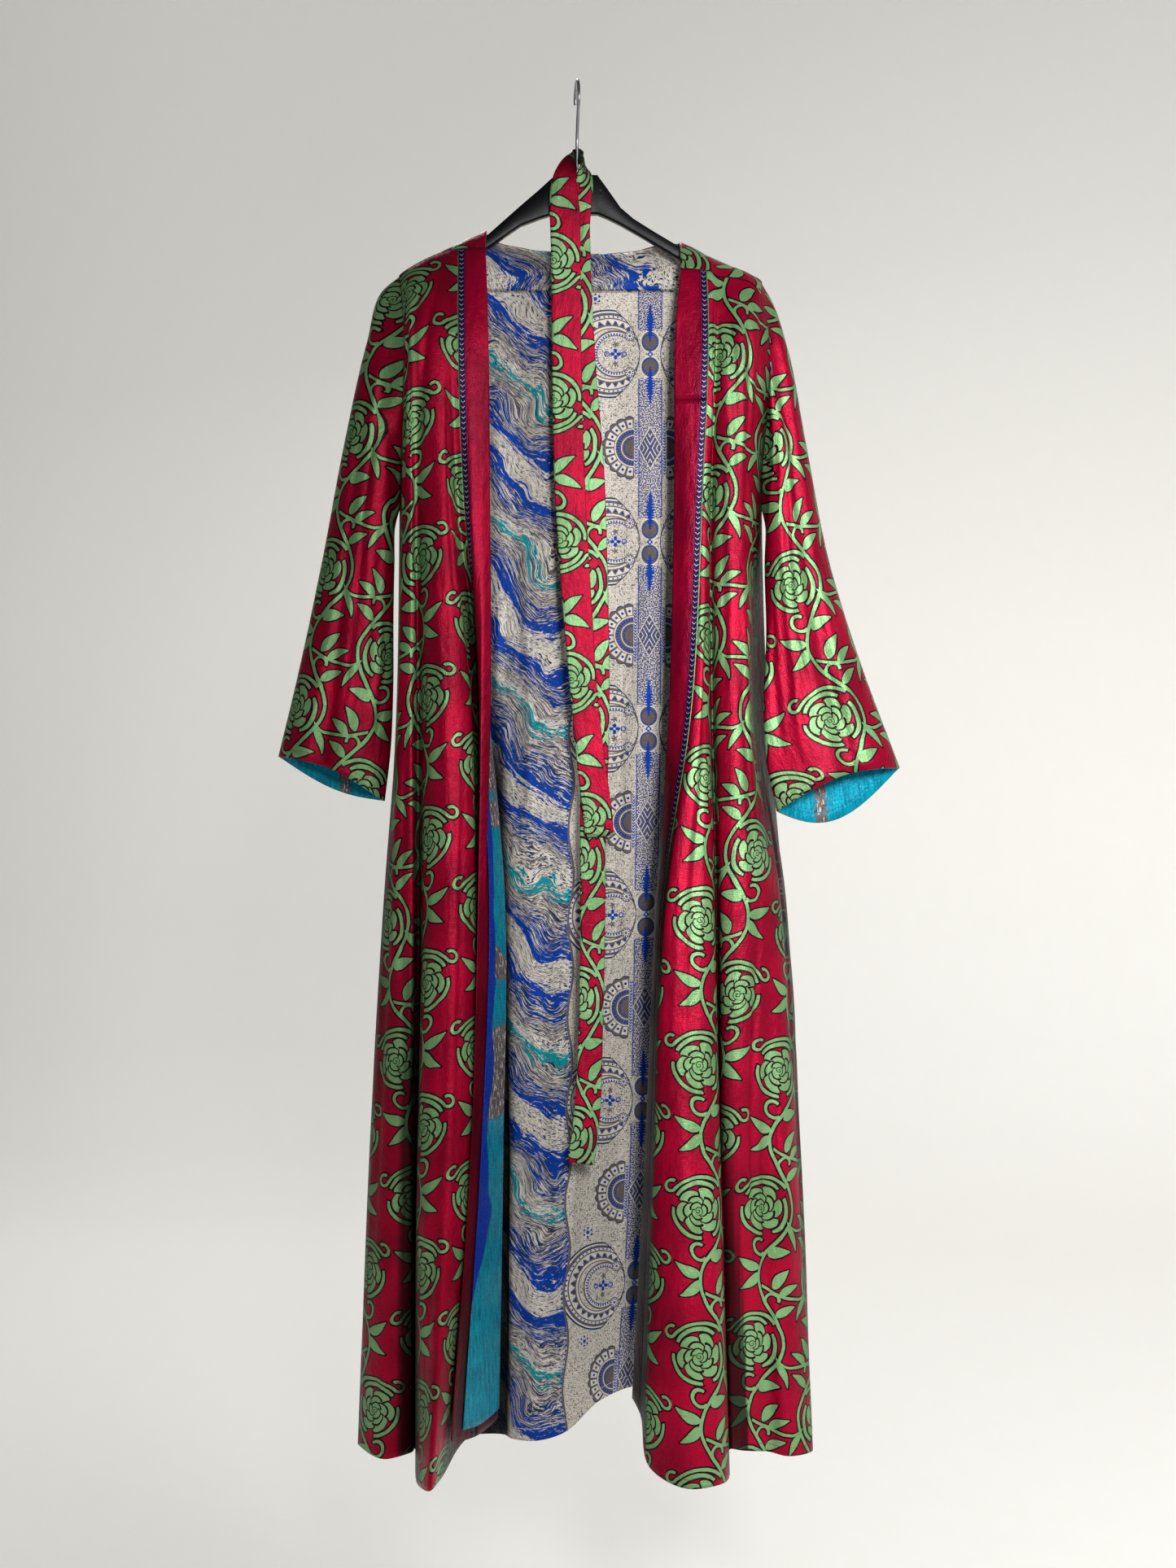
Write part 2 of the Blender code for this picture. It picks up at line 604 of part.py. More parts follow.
def make_sleeve(side, table, start, outward):
    half = SLEEVE_COLUMNS // 2
    s = np.concatenate([np.arange(half + 1), np.arange(half - 1, -1, -1)]) / half
    front = np.concatenate([np.ones(half + 1), -np.ones(half)])
    rings = [start]
    for k, row in enumerate(table):
        xt, zt, xu, zu, yu, yf, yb, sag_front, sag_back = row
        round_out = np.sin(np.pi * s) ** 0.55
        bow = np.sin(np.pi * s)
        x = xt + (xu - xt) * s
        z = zt + (zu - zt) * s
        z = z + np.where(front > 0, bow * sag_front, -bow * sag_back)
        centre = yu * s**1.5
        y = centre + np.where(front > 0, (yf - centre) * round_out, (yb - centre) * round_out)
        t = (k + 1) / len(table)
        at = SLEEVE_FOLD_START + (SLEEVE_FOLD_END - SLEEVE_FOLD_START) * t
        dent = np.exp(-(((s - at) / SLEEVE_FOLD_WIDTH) ** 2)) * np.minimum(1, 8 * s * (1 - s))
        y = y + np.where(front > 0, SLEEVE_FOLD_DEPTH * t * dent, 0)
        rings.append(np.stack([x, y, z], 1))
    key = np.array(rings)
    at = np.linspace(0, len(key) - 1, SLEEVE_ROWS + 1)
    grid = np.zeros((len(at), len(s), 3))
    for k, position in enumerate(at):
        grid[k] = along(key.transpose(1, 0, 2), np.full(len(s), position))
    grid[:, -1] = grid[:, 0]
    direction = normals(grid, True) * outward
    direction[0, :, 0] = 0
    direction[0] /= np.linalg.norm(direction[0], axis=1, keepdims=True)
    cloth(f"sleeve_{side}", *walls(grid, direction), looks["crimson"], closed=True)
    first = SLEEVE_LINING_ROW
    inner = walls(grid[first:], direction[first:], LINING_WALL, OUTER_WALL + LAYER_GAP,
                  bottom=4.0)
    cloth(f"lining_sleeve_{side}", *inner, looks["teal"], closed=True)


for old in list(bpy.data.objects):
    bpy.data.objects.remove(old, do_unlink=True)

looks = {
    "crimson": material("crimson silk", CRIMSON, 0.42),
    "band": material("plain red silk", BAND_RED, 0.40),
    "blue": material("blue lining silk", LINING_BLUE, 0.45),
    "teal": material("teal lining silk", LINING_TEAL, 0.35),
    "plastic": material("black plastic", BLACK_PLASTIC, 0.30),
    "steel": material("steel wire", STEEL, 0.25, 1.0),
}

left, left_way = panel_grid(LEFT_FRONT, 1)
right, right_way = panel_grid(RIGHT_FRONT, -1)
back, back_way = panel_grid(BACK, 1)
sew(left, left_way, back, back_way, 0, 1)
sew(right, right_way, back, back_way, -1, -2)

make_hanger()
make_hook()
make_belt()
band, band_way = make_front("left", left, left_way, 3)
cloth("band_left", *walls(band, band_way, right=SEAM_GAP / 2, top=SEAM_GAP), looks["band"])
band, band_way = make_front("right", right, right_way, 2)
upper = walls(band[:4], band_way[:4], right=SEAM_GAP / 2, top=SEAM_GAP, bottom=SEAM_GAP / 2)
lower = walls(band[3:], band_way[3:], right=SEAM_GAP / 2, top=SEAM_GAP / 2)
cloth("band_right_top", *upper, looks["band"])
cloth("band_right", *lower, looks["band"])
make_back(back, back_way)
yoke = make_yoke([(left, left_way), (right, right_way)], (back, back_way))
hole = armhole(LEFT_FRONT, fold_lines(BACK)[0], yoke[:, 0], SLEEVE_COLUMNS)
hole[:, 0] -= ARMHOLE_GAP
make_sleeve("left", LEFT_SLEEVE, hole, -1)
hole = armhole(RIGHT_FRONT, fold_lines(BACK)[-1], yoke[:, -1], SLEEVE_COLUMNS)
hole[:, 0] += ARMHOLE_GAP
make_sleeve("right", RIGHT_SLEEVE, hole, 1)
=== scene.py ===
import math

import bmesh
import bpy
import numpy as np
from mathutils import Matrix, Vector


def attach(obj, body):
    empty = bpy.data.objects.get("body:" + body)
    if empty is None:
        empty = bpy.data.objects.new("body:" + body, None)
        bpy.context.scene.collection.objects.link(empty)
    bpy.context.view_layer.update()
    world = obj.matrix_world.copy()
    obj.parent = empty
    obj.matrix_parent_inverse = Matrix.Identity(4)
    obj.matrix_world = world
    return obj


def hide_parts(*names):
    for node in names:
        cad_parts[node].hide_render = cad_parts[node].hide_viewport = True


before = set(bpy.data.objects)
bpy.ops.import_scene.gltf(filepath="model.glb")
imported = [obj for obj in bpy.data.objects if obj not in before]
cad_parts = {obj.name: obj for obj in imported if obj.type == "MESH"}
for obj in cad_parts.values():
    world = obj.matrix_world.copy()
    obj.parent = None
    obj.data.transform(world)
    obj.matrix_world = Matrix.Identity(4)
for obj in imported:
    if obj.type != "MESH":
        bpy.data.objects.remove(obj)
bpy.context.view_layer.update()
mm = 0.001

# all in millimetres from the hook's inner top; the folds' places are given at these levels
levels = [-246.0, -457.0, -686.0, -879.0, -1143.0]
armholeLevel = 2
bandJoin = 1.5
backTop = -219.0

cloth = {
    "wall": 0.7, "liningWall": 0.5, "liningIn": 1.5, "seamGap": 0.1, "bandEdge": 0.4,
    # rows from the shoulder through each level to the hem, and columns from fold to fold
    "rows": [8, 34, 38, 32, 44, 54], "columnsPerFold": 8,
    # rows over which the print is evened out, up and down
    "evenRows": 14,
    # creases: depth, how much narrower the ends are, parts of the run in which they rise and
    # fade, the lip beside them, and how far they keep from a sewn edge
    "creaseDepth": 1.4, "creaseTaper": 0.45, "creaseStart": 0.3, "creaseEnd": 0.35,
    "creaseLip": 0.7, "seamEase": 14.0,
    # painted shade in deep folds: how far aside the cloth in front is looked for, and the depths
    # at which the painted shade starts and is darkest
    "hollowReach": 22.0, "hollowFrom": 10.0, "hollowTo": 44.0, "hollowShade": 0.88,
}
# where each piece's print starts, so that no two match
printStarts = {
    "rightFrontCloth": (22.0, 96.0), "backCloth": (40.0, 60.0), "yokeCloth": (64.0, 30.0),
    "leftSleeveCloth": (18.0, 30.0), "rightSleeveCloth": (60.0, 112.0), "beltCloth": (3.0, 20.0),
}


def between(before, start, end, after, h0, h1, h2, t):
    # a smooth curve through four points, at a part t of the way between the middle two
    d0, d1, d2 = (start - before) / h0, (end - start) / h1, (after - end) / h2
    m1 = (d0 * h1 + d1 * h0) / (h0 + h1) * h1
    m2 = (d1 * h2 + d2 * h1) / (h1 + h2) * h1
    return (start * (2 * t**3 - 3 * t**2 + 1) + m1 * (t**3 - 2 * t**2 + t)
            + end * (3 * t**2 - 2 * t**3) + m2 * (t**3 - t**2))


def along(points, position):
    # the point at a position along each line of points, counted in points
    count = points.shape[1]
    i = np.clip(np.floor(position).astype(int), 0, count - 2)
    rows = np.arange(len(points))
    p = [points[rows, np.clip(i + k, 0, count - 1)] for k in (-1, 0, 1, 2)]
    p[0] = np.where((i == 0)[:, None], 2 * p[1] - p[2], p[0])
    p[3] = np.where((i == count - 2)[:, None], 2 * p[2] - p[1], p[3])
    h = [np.linalg.norm(p[k + 1] - p[k], axis=1)[:, None] + 1e-6 for k in range(3)]
    return between(*p, *h, (position - i)[:, None])


def foldLines(table):
    # each fold's points, from the shoulder seam to the hem
    lines = []
    for row in table:
        lines.append([row[:3], *zip(row[3:-3:2], row[4:-3:2], levels), row[-3:]])
    return np.array(lines, float)


def outward(grid, side, closed=False):
    # which way each point of a grid faces
    if closed:
        ring = np.concatenate([grid[:, -2:-1], grid, grid[:, 1:2]], 1)
        across = ring[:, 2:] - ring[:, :-2]
    else:
        across = np.gradient(grid, axis=1)
    n = np.cross(across, np.gradient(grid, axis=0)) * side
    return n / (np.linalg.norm(n, axis=2, keepdims=True) + 1e-12)


def unit(v):
    return v / np.linalg.norm(v, axis=-1, keepdims=True)


def summed(steps, axis=0):
    # a running total that starts from nought
    return np.insert(np.cumsum(steps, axis), 0, 0, axis)


def runAlong(points, axis=0):
    return summed(np.linalg.norm(np.diff(points, axis=axis), axis=-1), axis)


def columnsAt(table, at, columns):
    # a table's columns, read between its rows
    return [np.interp(at, np.arange(len(table)), table[:, k]) for k in columns]


def lengths(grid, column=None):
    # each point's place on the flat cloth, in millimetres: across from a column, and down
    across = runAlong(grid, 1)
    if column is not None:
        # evened out down the cloth, so that the print runs straight
        across -= across[:, column:column + 1]
        spread = cloth["evenRows"]
        ends = np.pad(across, ((spread, spread), (0, 0)), "edge")
        across = np.mean([ends[k:k + len(across)] for k in range(2 * spread + 1)], 0)
    return np.stack([across, runAlong(grid)], 2)


def smooth(t):
    t = np.clip(t, 0, 1)
    return t * t * (3 - 2 * t)


def creased(grid, direction, flat, columns, rows, creases, sewn=()):
    # soft troughs and ridges laid on the cloth
    out = np.zeros(grid.shape[:2])
    foldAt, rowAt = np.meshgrid(columns, rows)
    for c0, r0, c1, r1, bow, width, height in creases:
        # the cloth's point nearest to each end, with levels counted as further apart than folds
        start, end = (flat.reshape(-1, 2)[np.argmin((foldAt - c) ** 2 + (3 * (rowAt - r)) ** 2)]
                      for c, r in ((c0, r0), (c1, r1)))
        size = np.linalg.norm(end - start)
        run = (end - start) / size
        away = flat - start
        t = (away[..., 0] * run[0] + away[..., 1] * run[1]) / size
        off = away[..., 0] * run[1] - away[..., 1] * run[0]
        off = off - bow * 4 * t * (1 - t)
        taper = cloth["creaseTaper"]
        wide = width * (1 - taper + taper * np.sin(np.pi * np.clip(t, 0, 1)))
        ease = smooth(t / cloth["creaseStart"]) * smooth((1 - t) / cloth["creaseEnd"])
        k = (off / wide) ** 2
        out += cloth["creaseDepth"] * height * ease * (1 - cloth["creaseLip"] * k) * np.exp(-k)
    for column in sewn:
        out *= smooth(abs(flat[..., 0] - flat[:, column][:, None, 0]) / cloth["seamEase"])
    if sewn:
        out *= smooth(flat[..., 1] / cloth["seamEase"])
    return grid + direction * out[..., None]


def paintedFoldShade(grid, side, shades):
    # painted shade: how much darker the cloth is painted in deep folds and in the listed shades, from 0
    # to 1
    x, y = grid[..., 0], grid[..., 1] * side
    near = abs(x[:, :, None] - x[:, None, :]) < cloth["hollowReach"]
    behind = y - np.where(near, y[:, None, :], np.inf).min(2)
    start, end = cloth["hollowFrom"], cloth["hollowTo"]
    dark = cloth["hollowShade"] * smooth((behind - start) / (end - start))
    count = (grid.shape[1] - 1) / cloth["columnsPerFold"]
    fold = np.linspace(0, count, grid.shape[1])[None]
    for last, soft, high, low, strength in shades:
        share = smooth((last + soft - fold) / (2 * soft))
        share = share * smooth((high - grid[..., 2]) / (high - low))
        dark = np.maximum(dark, strength * share)
    return dark


def layGrid(bm, points, flat, marks):
    # a grid laid on its points, with its place on the flat cut as its UV map
    rows, columns = points.shape[0] - 1, points.shape[1] - 1
    uv = bm.loops.layers.uv.new("cut")
    layers = {key: bm.verts.layers.float.new(key) for key in marks}
    bmesh.ops.create_grid(bm, x_segments=columns, y_segments=rows, size=0.5)
    place = {}
    for v in bm.verts:
        i, j = round((v.co.x + 0.5) * columns), round((v.co.y + 0.5) * rows)
        place[v] = (i, j)
        v.co = points[j, i] * mm
        for key, layer in layers.items():
            v[layer] = marks[key][j, i]
    for f in bm.faces:
        for corner in f.loops:
            i, j = place[corner.vert]
            corner[uv].uv = (flat[j, i, 0] * mm, -flat[j, i, 1] * mm)
    return place


def addMesh(name, bm, look):
    mesh = bpy.data.meshes.new(name)
    bm.to_mesh(mesh)
    bm.free()
    mesh.shade_smooth()
    mesh.materials.append(look)
    piece = bpy.data.objects.new(name, mesh)
    bpy.context.scene.collection.objects.link(piece)
    return piece


def addWall(piece, thickness):
    wall = piece.modifiers.new("wall", "SOLIDIFY")
    wall.thickness = thickness * mm
    wall.offset = -1


def makeCloth(name, grid, direction, flat, look, wall, marks, closed=False, keep=None):
    # one shell of cloth, facing outwards, with its wall inside
    bm = bmesh.new()
    place = layGrid(bm, grid, flat + printStarts.get(name, (0.0, 0.0)), marks)
    if keep is not None:
        gone = [f for f in bm.faces if not keep(*np.mean([place[v] for v in f.verts], 0))]
        bmesh.ops.delete(bm, geom=gone, context="FACES")
    bm.normal_update()
    facing = 0.0
    for v in bm.verts:
        i, j = place[v]
        facing += float(np.dot(v.normal, direction[j, i]))
    if facing < 0:
        bmesh.ops.reverse_faces(bm, faces=bm.faces)
    if closed:
        bmesh.ops.remove_doubles(bm, verts=bm.verts, dist=1e-6)
    piece = addMesh(name, bm, look)
    addWall(piece, wall)
    return piece


def loft(name, rings, look, flat=None, marks=None):
    # a closed skin through rings of the same count
    rings = np.array(rings)
    rings = np.concatenate([rings, rings[:, :1]], 1)
    if flat is None:
        flat = lengths(rings)
    bm = bmesh.new()
    layGrid(bm, rings, flat + printStarts.get(name, (0.0, 0.0)), marks or {})
    bmesh.ops.remove_doubles(bm, verts=bm.verts, dist=1e-6)
    bmesh.ops.holes_fill(bm, edges=[e for e in bm.edges if e.is_boundary], sides=0)
    bmesh.ops.recalc_face_normals(bm, faces=bm.faces)
    return addMesh(name, bm, look)


def settle(piece, node):
    # on the body, in place of its plain solid
    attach(piece, "root")
    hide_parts(node)


class Number:
    # a socket in a material's nodes, for sums
    def __init__(self, look, socket):
        self.look, self.socket = look, socket

    def sum(self, operation, *others, flip=False):
        terms = [self, *others]
        if flip:
            terms = terms[::-1]
        return self.look.node("Math", {"operation": operation}, dict(enumerate(terms)))

    def __add__(self, other):
        return self.sum("ADD", other)

    def __sub__(self, other):
        return self.sum("SUBTRACT", other)

    def __rsub__(self, other):
        return self.sum("SUBTRACT", other, flip=True)

    def __mul__(self, other):
        return self.sum("MULTIPLY", other)

    def __truediv__(self, other):
        return self.sum("MULTIPLY", 1 / other)

    def __pow__(self, other):
        return self.sum("POWER", other)

    def __neg__(self):
        return self.sum("MULTIPLY", -1.0)

    def __abs__(self):
        return self.sum("ABSOLUTE")

    __radd__ = __add__
    __rmul__ = __mul__


class Look:
    def __init__(self, name):
        self.material = bpy.data.materials.new(name)
        self.material.use_nodes = True
        self.tree = self.material.node_tree
        self.shader = self.tree.nodes["Principled BSDF"]

    def node(self, kind, settings=None, inputs=None, output=0):
        made = self.tree.nodes.new("ShaderNode" + kind)
        for key, value in (settings or {}).items():
            if key == "stops":
                self.setStops(made.color_ramp, value)
            else:
                setattr(made, key, value)
        for key, value in (inputs or {}).items():
            self.put(made.inputs[key], value)
        return Number(self, made.outputs[output])

    def setStops(self, ramp, stops):
        ramp.interpolation = "CONSTANT"
        while len(ramp.elements) > 1:
            ramp.elements.remove(ramp.elements[-1])
        ramp.elements[0].position = stops[0][0]
        ramp.elements[0].color = colours[stops[0][1]]
        for position, shade in stops[1:]:
            ramp.elements.new(position).color = colours[shade]

    def put(self, socket, value):
        # a socket, the name of a colour, or a value
        if isinstance(value, Number):
            self.tree.links.new(value.socket, socket)
        else:
            socket.default_value = colours[value] if isinstance(value, str) else value

    def set(self, **values):
        for key, value in values.items():
            self.put(self.shader.inputs[key.replace("_", " ")], value)

    def parts(self, vector):
        split = self.node("SeparateXYZ", None, {0: vector})
        return [Number(self, output) for output in split.socket.node.outputs]

    def cut(self):
        # the piece's flat cut in millimetres: across and down
        x, y, _ = self.parts(self.node("UVMap", {"uv_map": "cut"}))
        return x * 1000.0, y * -1000.0

    def mark(self, name):
        # a number that the cloth carries at each point
        return self.node("Attribute", {"attribute_name": name}, output=2)

    def place(self):
        return self.node("TexCoord", output=3)

    def point(self, x, y, z=0.0):
        return self.node("CombineXYZ", None, {0: x, 1: y, 2: z})

    def noise(self, place, scale, detail=2.0, roughness=0.5):
        return self.node("TexNoise", {"noise_dimensions": "3D"},
                         {"Vector": place, "Scale": scale, "Detail": detail,
                          "Roughness": roughness})

    def grain(self, u, v, across, down, seed=0.0, detail=2.0, roughness=0.5):
        # a noise on the flat cut, drawn out across or down
        return self.noise(self.point(u * across, v * down, seed), 1.0, detail, roughness)

    def ease(self, value, low, high, fromValue=0.0, toValue=1.0):
        # a smooth step from low to high
        return self.node("MapRange", {"interpolation_type": "SMOOTHSTEP"},
                         {0: value, 1: low, 2: high, 3: fromValue, 4: toValue})

    def inside(self, distance, soft=0.18):
        # 1 where a distance is below nought, with a soft edge
        return self.ease(distance, -soft, soft, 1.0, 0.0)

    def ramp(self, value, stops):
        # bands of colour, each from its stop to the next
        return self.node("ValToRGB", {"stops": stops}, {0: value})

    def mix(self, part, first, second, blend="MIX"):
        return self.node("Mix", {"data_type": "RGBA", "blend_type": blend},
                         {0: part, 6: first, 7: second}, output=2)

    def paint(self, base, *layers, soft=0.18):
        # colours laid over each other, each where its distance is below nought
        for distance, shade in layers:
            base = self.mix(self.inside(distance, soft), base, shade)
        return base

    def bump(self, height, strength, distance):
        return self.node("Bump", None, {"Strength": strength, "Distance": distance, "Height": height})


def least(first, *others):
    for other in others:
        first = first.sum("MINIMUM", other)
    return first


def most(first, *others):
    for other in others:
        first = first.sum("MAXIMUM", other)
    return first


def reach(x, y):
    return (x * x + y * y).sum("SQRT")


def polar(x, y):
    # the way out from a centre, and the angle in turns
    return reach(x, y), y.sum("ARCTAN2", x) / math.tau


def offMiddle(value):
    # how far a number is from the middle of its unit
    return abs(value.sum("FRACT") - 0.5)


def nearest(value, repeat):
    # counted from the nearest of a row of repeats
    return value.sum("WRAP", repeat / 2, -repeat / 2)


def grey(level):
    return (level, level, level, 1.0)


def colour(red, green, blue):
    # a colour given as seen on a screen, from 0 to 255
    parts = []
    for c in (red, green, blue):
        c = c / 255
        parts.append(c / 12.92 if c <= 0.04045 else ((c + 0.055) / 1.055) ** 2.4)
    return (*parts, 1.0)


colours = {
    # outer cloth and bands
    "crimson": colour(172, 2, 46), "crimsonDark": colour(140, 1, 38),
    "leaf": colour(132, 176, 122), "leafDark": colour(112, 156, 102),
    "outline": colour(38, 3, 14), "bandRed": colour(162, 2, 46),
    "bandDark": colour(124, 1, 37), "purple": colour(40, 16, 62), "pale": colour(176, 180, 186),
    # linings
    "cream": colour(214, 206, 194), "taupe": colour(100, 92, 90), "blue": colour(4, 60, 160),
    "navy": colour(20, 52, 92), "teal": colour(0, 158, 182), "deepTeal": colour(0, 110, 138),
    "royal": colour(8, 52, 158), "umber": colour(104, 92, 88), "sliver": colour(0, 142, 150),
}

vine = {
    "width": 84.0, "drop": 150.0, "sway": 6.0, "rose": (40.0, 40.0), "outlineWidth": 1.75,
    "lineInside": 0.4, "drawn": 1.6,
    # the stem's half width, its middle, how far it swings and from where, and how it thins
    "stem": 1.75, "stemMiddle": 54.0, "stemSwing": 24.0, "stemFrom": 38.0, "stemThins": 0.28,
    # petals in a ring, its radius, their bulge, turn, slant, half gap and twist
    "petals": [(6, 20.8, 4.8, 0.13, 3.4, 1.1, 0.022), (5, 14.0, 3.6, 0.52, 3.0, 0.8, 0.030),
               (3, 8.2, 2.6, 0.20, 2.6, 0.7, 0.030)],
    "roundness": 0.6, "petalGap": 0.3,
    # half widths of the lines round the middle and inner ring, and where the petals' lines end
    "ringLines": (1.1, 0.95), "petalsFrom": 4.2,
    # the spiral at the heart: its pitch, half width and reach
    "heart": (3.0, 0.5, 5.2),
    # the loose outer petals: how many, inner and outer radius, bulge, turn and half gap
    "loose": (3, 25.2, 27.0, 4.6, 0.36, 6.5), "looseFollow": 0.35, "looseGap": 0.6,
    # base, tip and half width of each leaf
    "leaves": [
        ((30, 106), (4, 94), 8.6), ((30, 112), (9, 129), 8.2), ((44, 91), (70, 83), 8.4),
        ((50, 126), (66, 103), 8.4), ((59, 132), (80, 119), 7.4), ((62, 6), (81, -7), 8.2),
        ((71, 57), (79, 83), 6.4),
    ],
    "leafBend": 0.34, "leafPoint": 0.66, "leafFull": 1.55, "leafBase": 1.5,
    # centre, radius, first and last angle in turns, half width of each curl and arc
    "curls": [((33.5, 82.5), 8.6, 0.13, 0.86, 1.7), ((40, 40), 34.5, -0.40, -0.13, 1.7),
              ((7.6, 16.4), 5.8, 0.09, 0.84, 1.6), ((53, 139), 7.3, 0.378, 1.02, 1.6)],
    # y where each twig meets the edge, its bend, x where it starts, and how much thinner it is
    "twigs": [(60.0, 0.040, 70.0), (135.0, 0.0045, 36.5)], "twigThins": 0.2,
}


def roseShape(x, y):
    # the distance outside the petals, and the distance from the lines between them
    r, turn = polar(x, y)

    def ring(count, radius, bulge, start, slant, gap, twist):
        share = (turn * count + (r * twist + start)).sum("FRACT")
        bow = (share * math.pi).sum("SINE") ** vine["roundness"]
        beside = (0.5 - abs(share - 0.5)) * r * (math.tau / count) - gap
        return bow * bulge - share * slant + radius, beside

    outer, middle, inner = (ring(*petals) for petals in vine["petals"])
    # gaps of the ground's colour part the outer petals, and lines the inner ones
    shape = most(r - outer[0], -most(outer[1], middle[0] + vine["petalGap"] - r))
    count, low, high, bulge, start, gap = vine["loose"]
    edge, beside = ring(count, high, bulge, start, 1.0, gap, 0.0)
    follow = vine["looseFollow"]
    within = edge * follow + low * (1 - follow) - vine["looseGap"]
    shape = least(shape, most(r - edge, within - r, -beside))
    pitch, thin, end = vine["heart"]
    lines = least(abs(r - middle[0]) - vine["ringLines"][0], abs(r - inner[0]) - vine["ringLines"][1],
                  most(middle[1], r - middle[0], inner[0] - r),
                  most(inner[1], r - inner[0], vine["petalsFrom"] - r),
                  most(offMiddle(r / pitch - turn) * pitch - thin, r - end))
    return shape, lines


def leafShape(x, y, base, tip, half):
    dx, dy = tip[0] - base[0], tip[1] - base[1]
    size = math.hypot(dx, dy)
    dx, dy = dx / size, dy / size
    fromX, fromY = x - base[0], nearest(y - base[1], vine["drop"])
    run = (fromX * dx + fromY * dy) / size
    inside = most(run * (1.0 - run), 0.0 * run)
    # a slight bend, wide near the base and drawn out to a point
    off = fromY * dx - fromX * dy + inside * (size * vine["leafBend"])
    width = inside ** vine["leafPoint"] * (vine["leafBase"] - run) * (half * vine["leafFull"])
    return most(abs(off) - width, abs(run - 0.5) * size - size / 2)


def vineShape(u, v):
    width, drop = vine["width"], vine["drop"]
    u = u + (v * (math.tau / drop)).sum("SINE") * vine["sway"]
    odd = (u / width).sum("FLOOR").sum("MODULO", 2.0).sum("ABSOLUTE")
    x = (u / width).sum("FRACT") * width
    # every other column is turned over and dropped half a repeat
    x = x + odd * (width - x * 2.0)
    y = (v + odd * (drop / 2)).sum("WRAP", drop, 0.0)
    shape, lines = roseShape(x - vine["rose"][0], y - vine["rose"][1])
    wave = (y - vine["stemFrom"]) * (math.tau / drop)
    stem = abs(x - vine["stemMiddle"] - wave.sum("COSINE") * vine["stemSwing"])
    stem = stem * (wave.sum("SINE") ** 2.0 * -vine["stemThins"] + 1.0)
    shape = least(shape, stem - vine["stem"])
    for at, bend, start in vine["twigs"]:
        away = width - x
        twig = abs(y - at + away * away * bend) - vine["stem"] + vine["twigThins"]
        shape = least(shape, most(twig, start - x))
    for centre, radius, first, last, half in vine["curls"]:
        r, turn = polar(x - centre[0], nearest(y - centre[1], drop))
        turn = nearest(turn - (first + last) / 2, 1.0)
        past = (abs(turn) - (last - first) / 2) * (math.tau * radius)
        shape = least(shape, most(abs(r - radius) - half, past))
    for leaf in vine["leaves"]:
        shape = least(shape, leafShape(x, y, *leaf))
    return shape, lines


satin = {
    # scale across and down the cloth, seed, detail and roughness of each grain
    "thread": (1.6, 0.22), "slub": (0.09, 1.1, 3.0), "crinkle": (0.10, 0.035, 9.0, 3.0, 0.55),
    # how high each stands, and the bump's depth in metres
    "threadHeight": 0.25, "slubHeight": 0.22, "crinkleHeight": 1.7, "relief": 0.0018,
    "tones": (0.35, 0.66), "darkest": grey(0.80), "lightest": grey(1.06),
    "slubGloss": 0.22, "glossShift": 0.08, "specular": 0.12, "drawn": 0.35,
    # cloth that has faded in patches: scale across and down, and the step between tones
    "worn": (0.012, 0.012), "wornStep": (0.35, 0.65),
    # the painted shade in the seams: the distances from a seam at which it is full and gone
    "seamShade": (0.4, 1.6),
    # the wanders of a hand-printed line
    "wanderAcross": (0.045, 0.045, 5.0), "wanderDown": (0.045, 0.045, 25.0),
}


def silkFinish(look, base, u, v, gloss=0.36, depth=0.6, metal=0.38):
    # satin: fine threads down the cloth, slubs across it and a soft crinkle
    thread, slub, crinkle = (look.grain(u, v, *satin[key]) for key in ("thread", "slub", "crinkle"))
    height = (thread * satin["threadHeight"] + slub * satin["slubHeight"]
              + crinkle * satin["crinkleHeight"])
    tone = look.ease(thread * 0.5 + slub * 0.5, *satin["tones"])
    dark = look.mix(1.0, base, look.mix(tone, satin["darkest"], satin["lightest"]), "MULTIPLY")
    # painted shade: the shade mark darkens the colour towards black in deep folds and on the belt's wrap
    look.set(Base_Color=look.mix(look.mark("shade"), dark, grey(0.0)),
             Roughness=slub * satin["slubGloss"] + (gloss - satin["glossShift"]),
             Normal=look.bump(height, depth, satin["relief"]), Metallic=metal,
             Specular_IOR_Level=satin["specular"], Anisotropic=satin["drawn"])


def handDrawn(look, u, v, amount):
    # small wanders, as a block-printed line has
    wander, other = (look.grain(u, v, *satin[key]) for key in ("wanderAcross", "wanderDown"))
    return u + (wander - 0.5) * (amount * 2), v + (other - 0.5) * (amount * 2)


stitch = {
    "pitch": 3.4, "length": 2.6, "half": 0.28, "soft": 0.08,
    # how far the row is from each hem
    "rose": 9.0, "printed": 13.0, "folded": 19.0, "teal": 10.0,
}


def stitched(look, base, away, run, line, thread):
    # one row of stitches at a distance from an edge
    dash = offMiddle(run / stitch["pitch"]) * stitch["pitch"] - stitch["length"] / 2
    return look.paint(base, (most(abs(away - line) - stitch["half"], dash), thread),
                      soft=stitch["soft"])


def roseSilk(name):
    look = Look(name)
    u, v = look.cut()
    shape, lines = vineShape(*handDrawn(look, u, v, vine["drawn"]))
    worn = look.ease(look.grain(u, v, *satin["worn"]), *satin["wornStep"])
    base = look.paint(look.mix(worn, "crimsonDark", "crimson"),
                      (shape - vine["outlineWidth"], "outline"),
                      (shape, look.mix(worn, "leafDark", "leaf")),
                      (most(lines, shape - vine["lineInside"]), "outline"))
    border = sariBorder(look, base, u, look.mark("level") - sari["top"])
    base = look.mix(look.mark("bordered"), base, border)
    # painted shade in the seams
    base = look.mix(look.ease(look.mark("clear"), *satin["seamShade"]), "outline", base)
    base = stitched(look, base, look.mark("hemAway"), u, stitch["rose"], "crimsonDark")
    silkFinish(look, base, u, v)
    return look.material


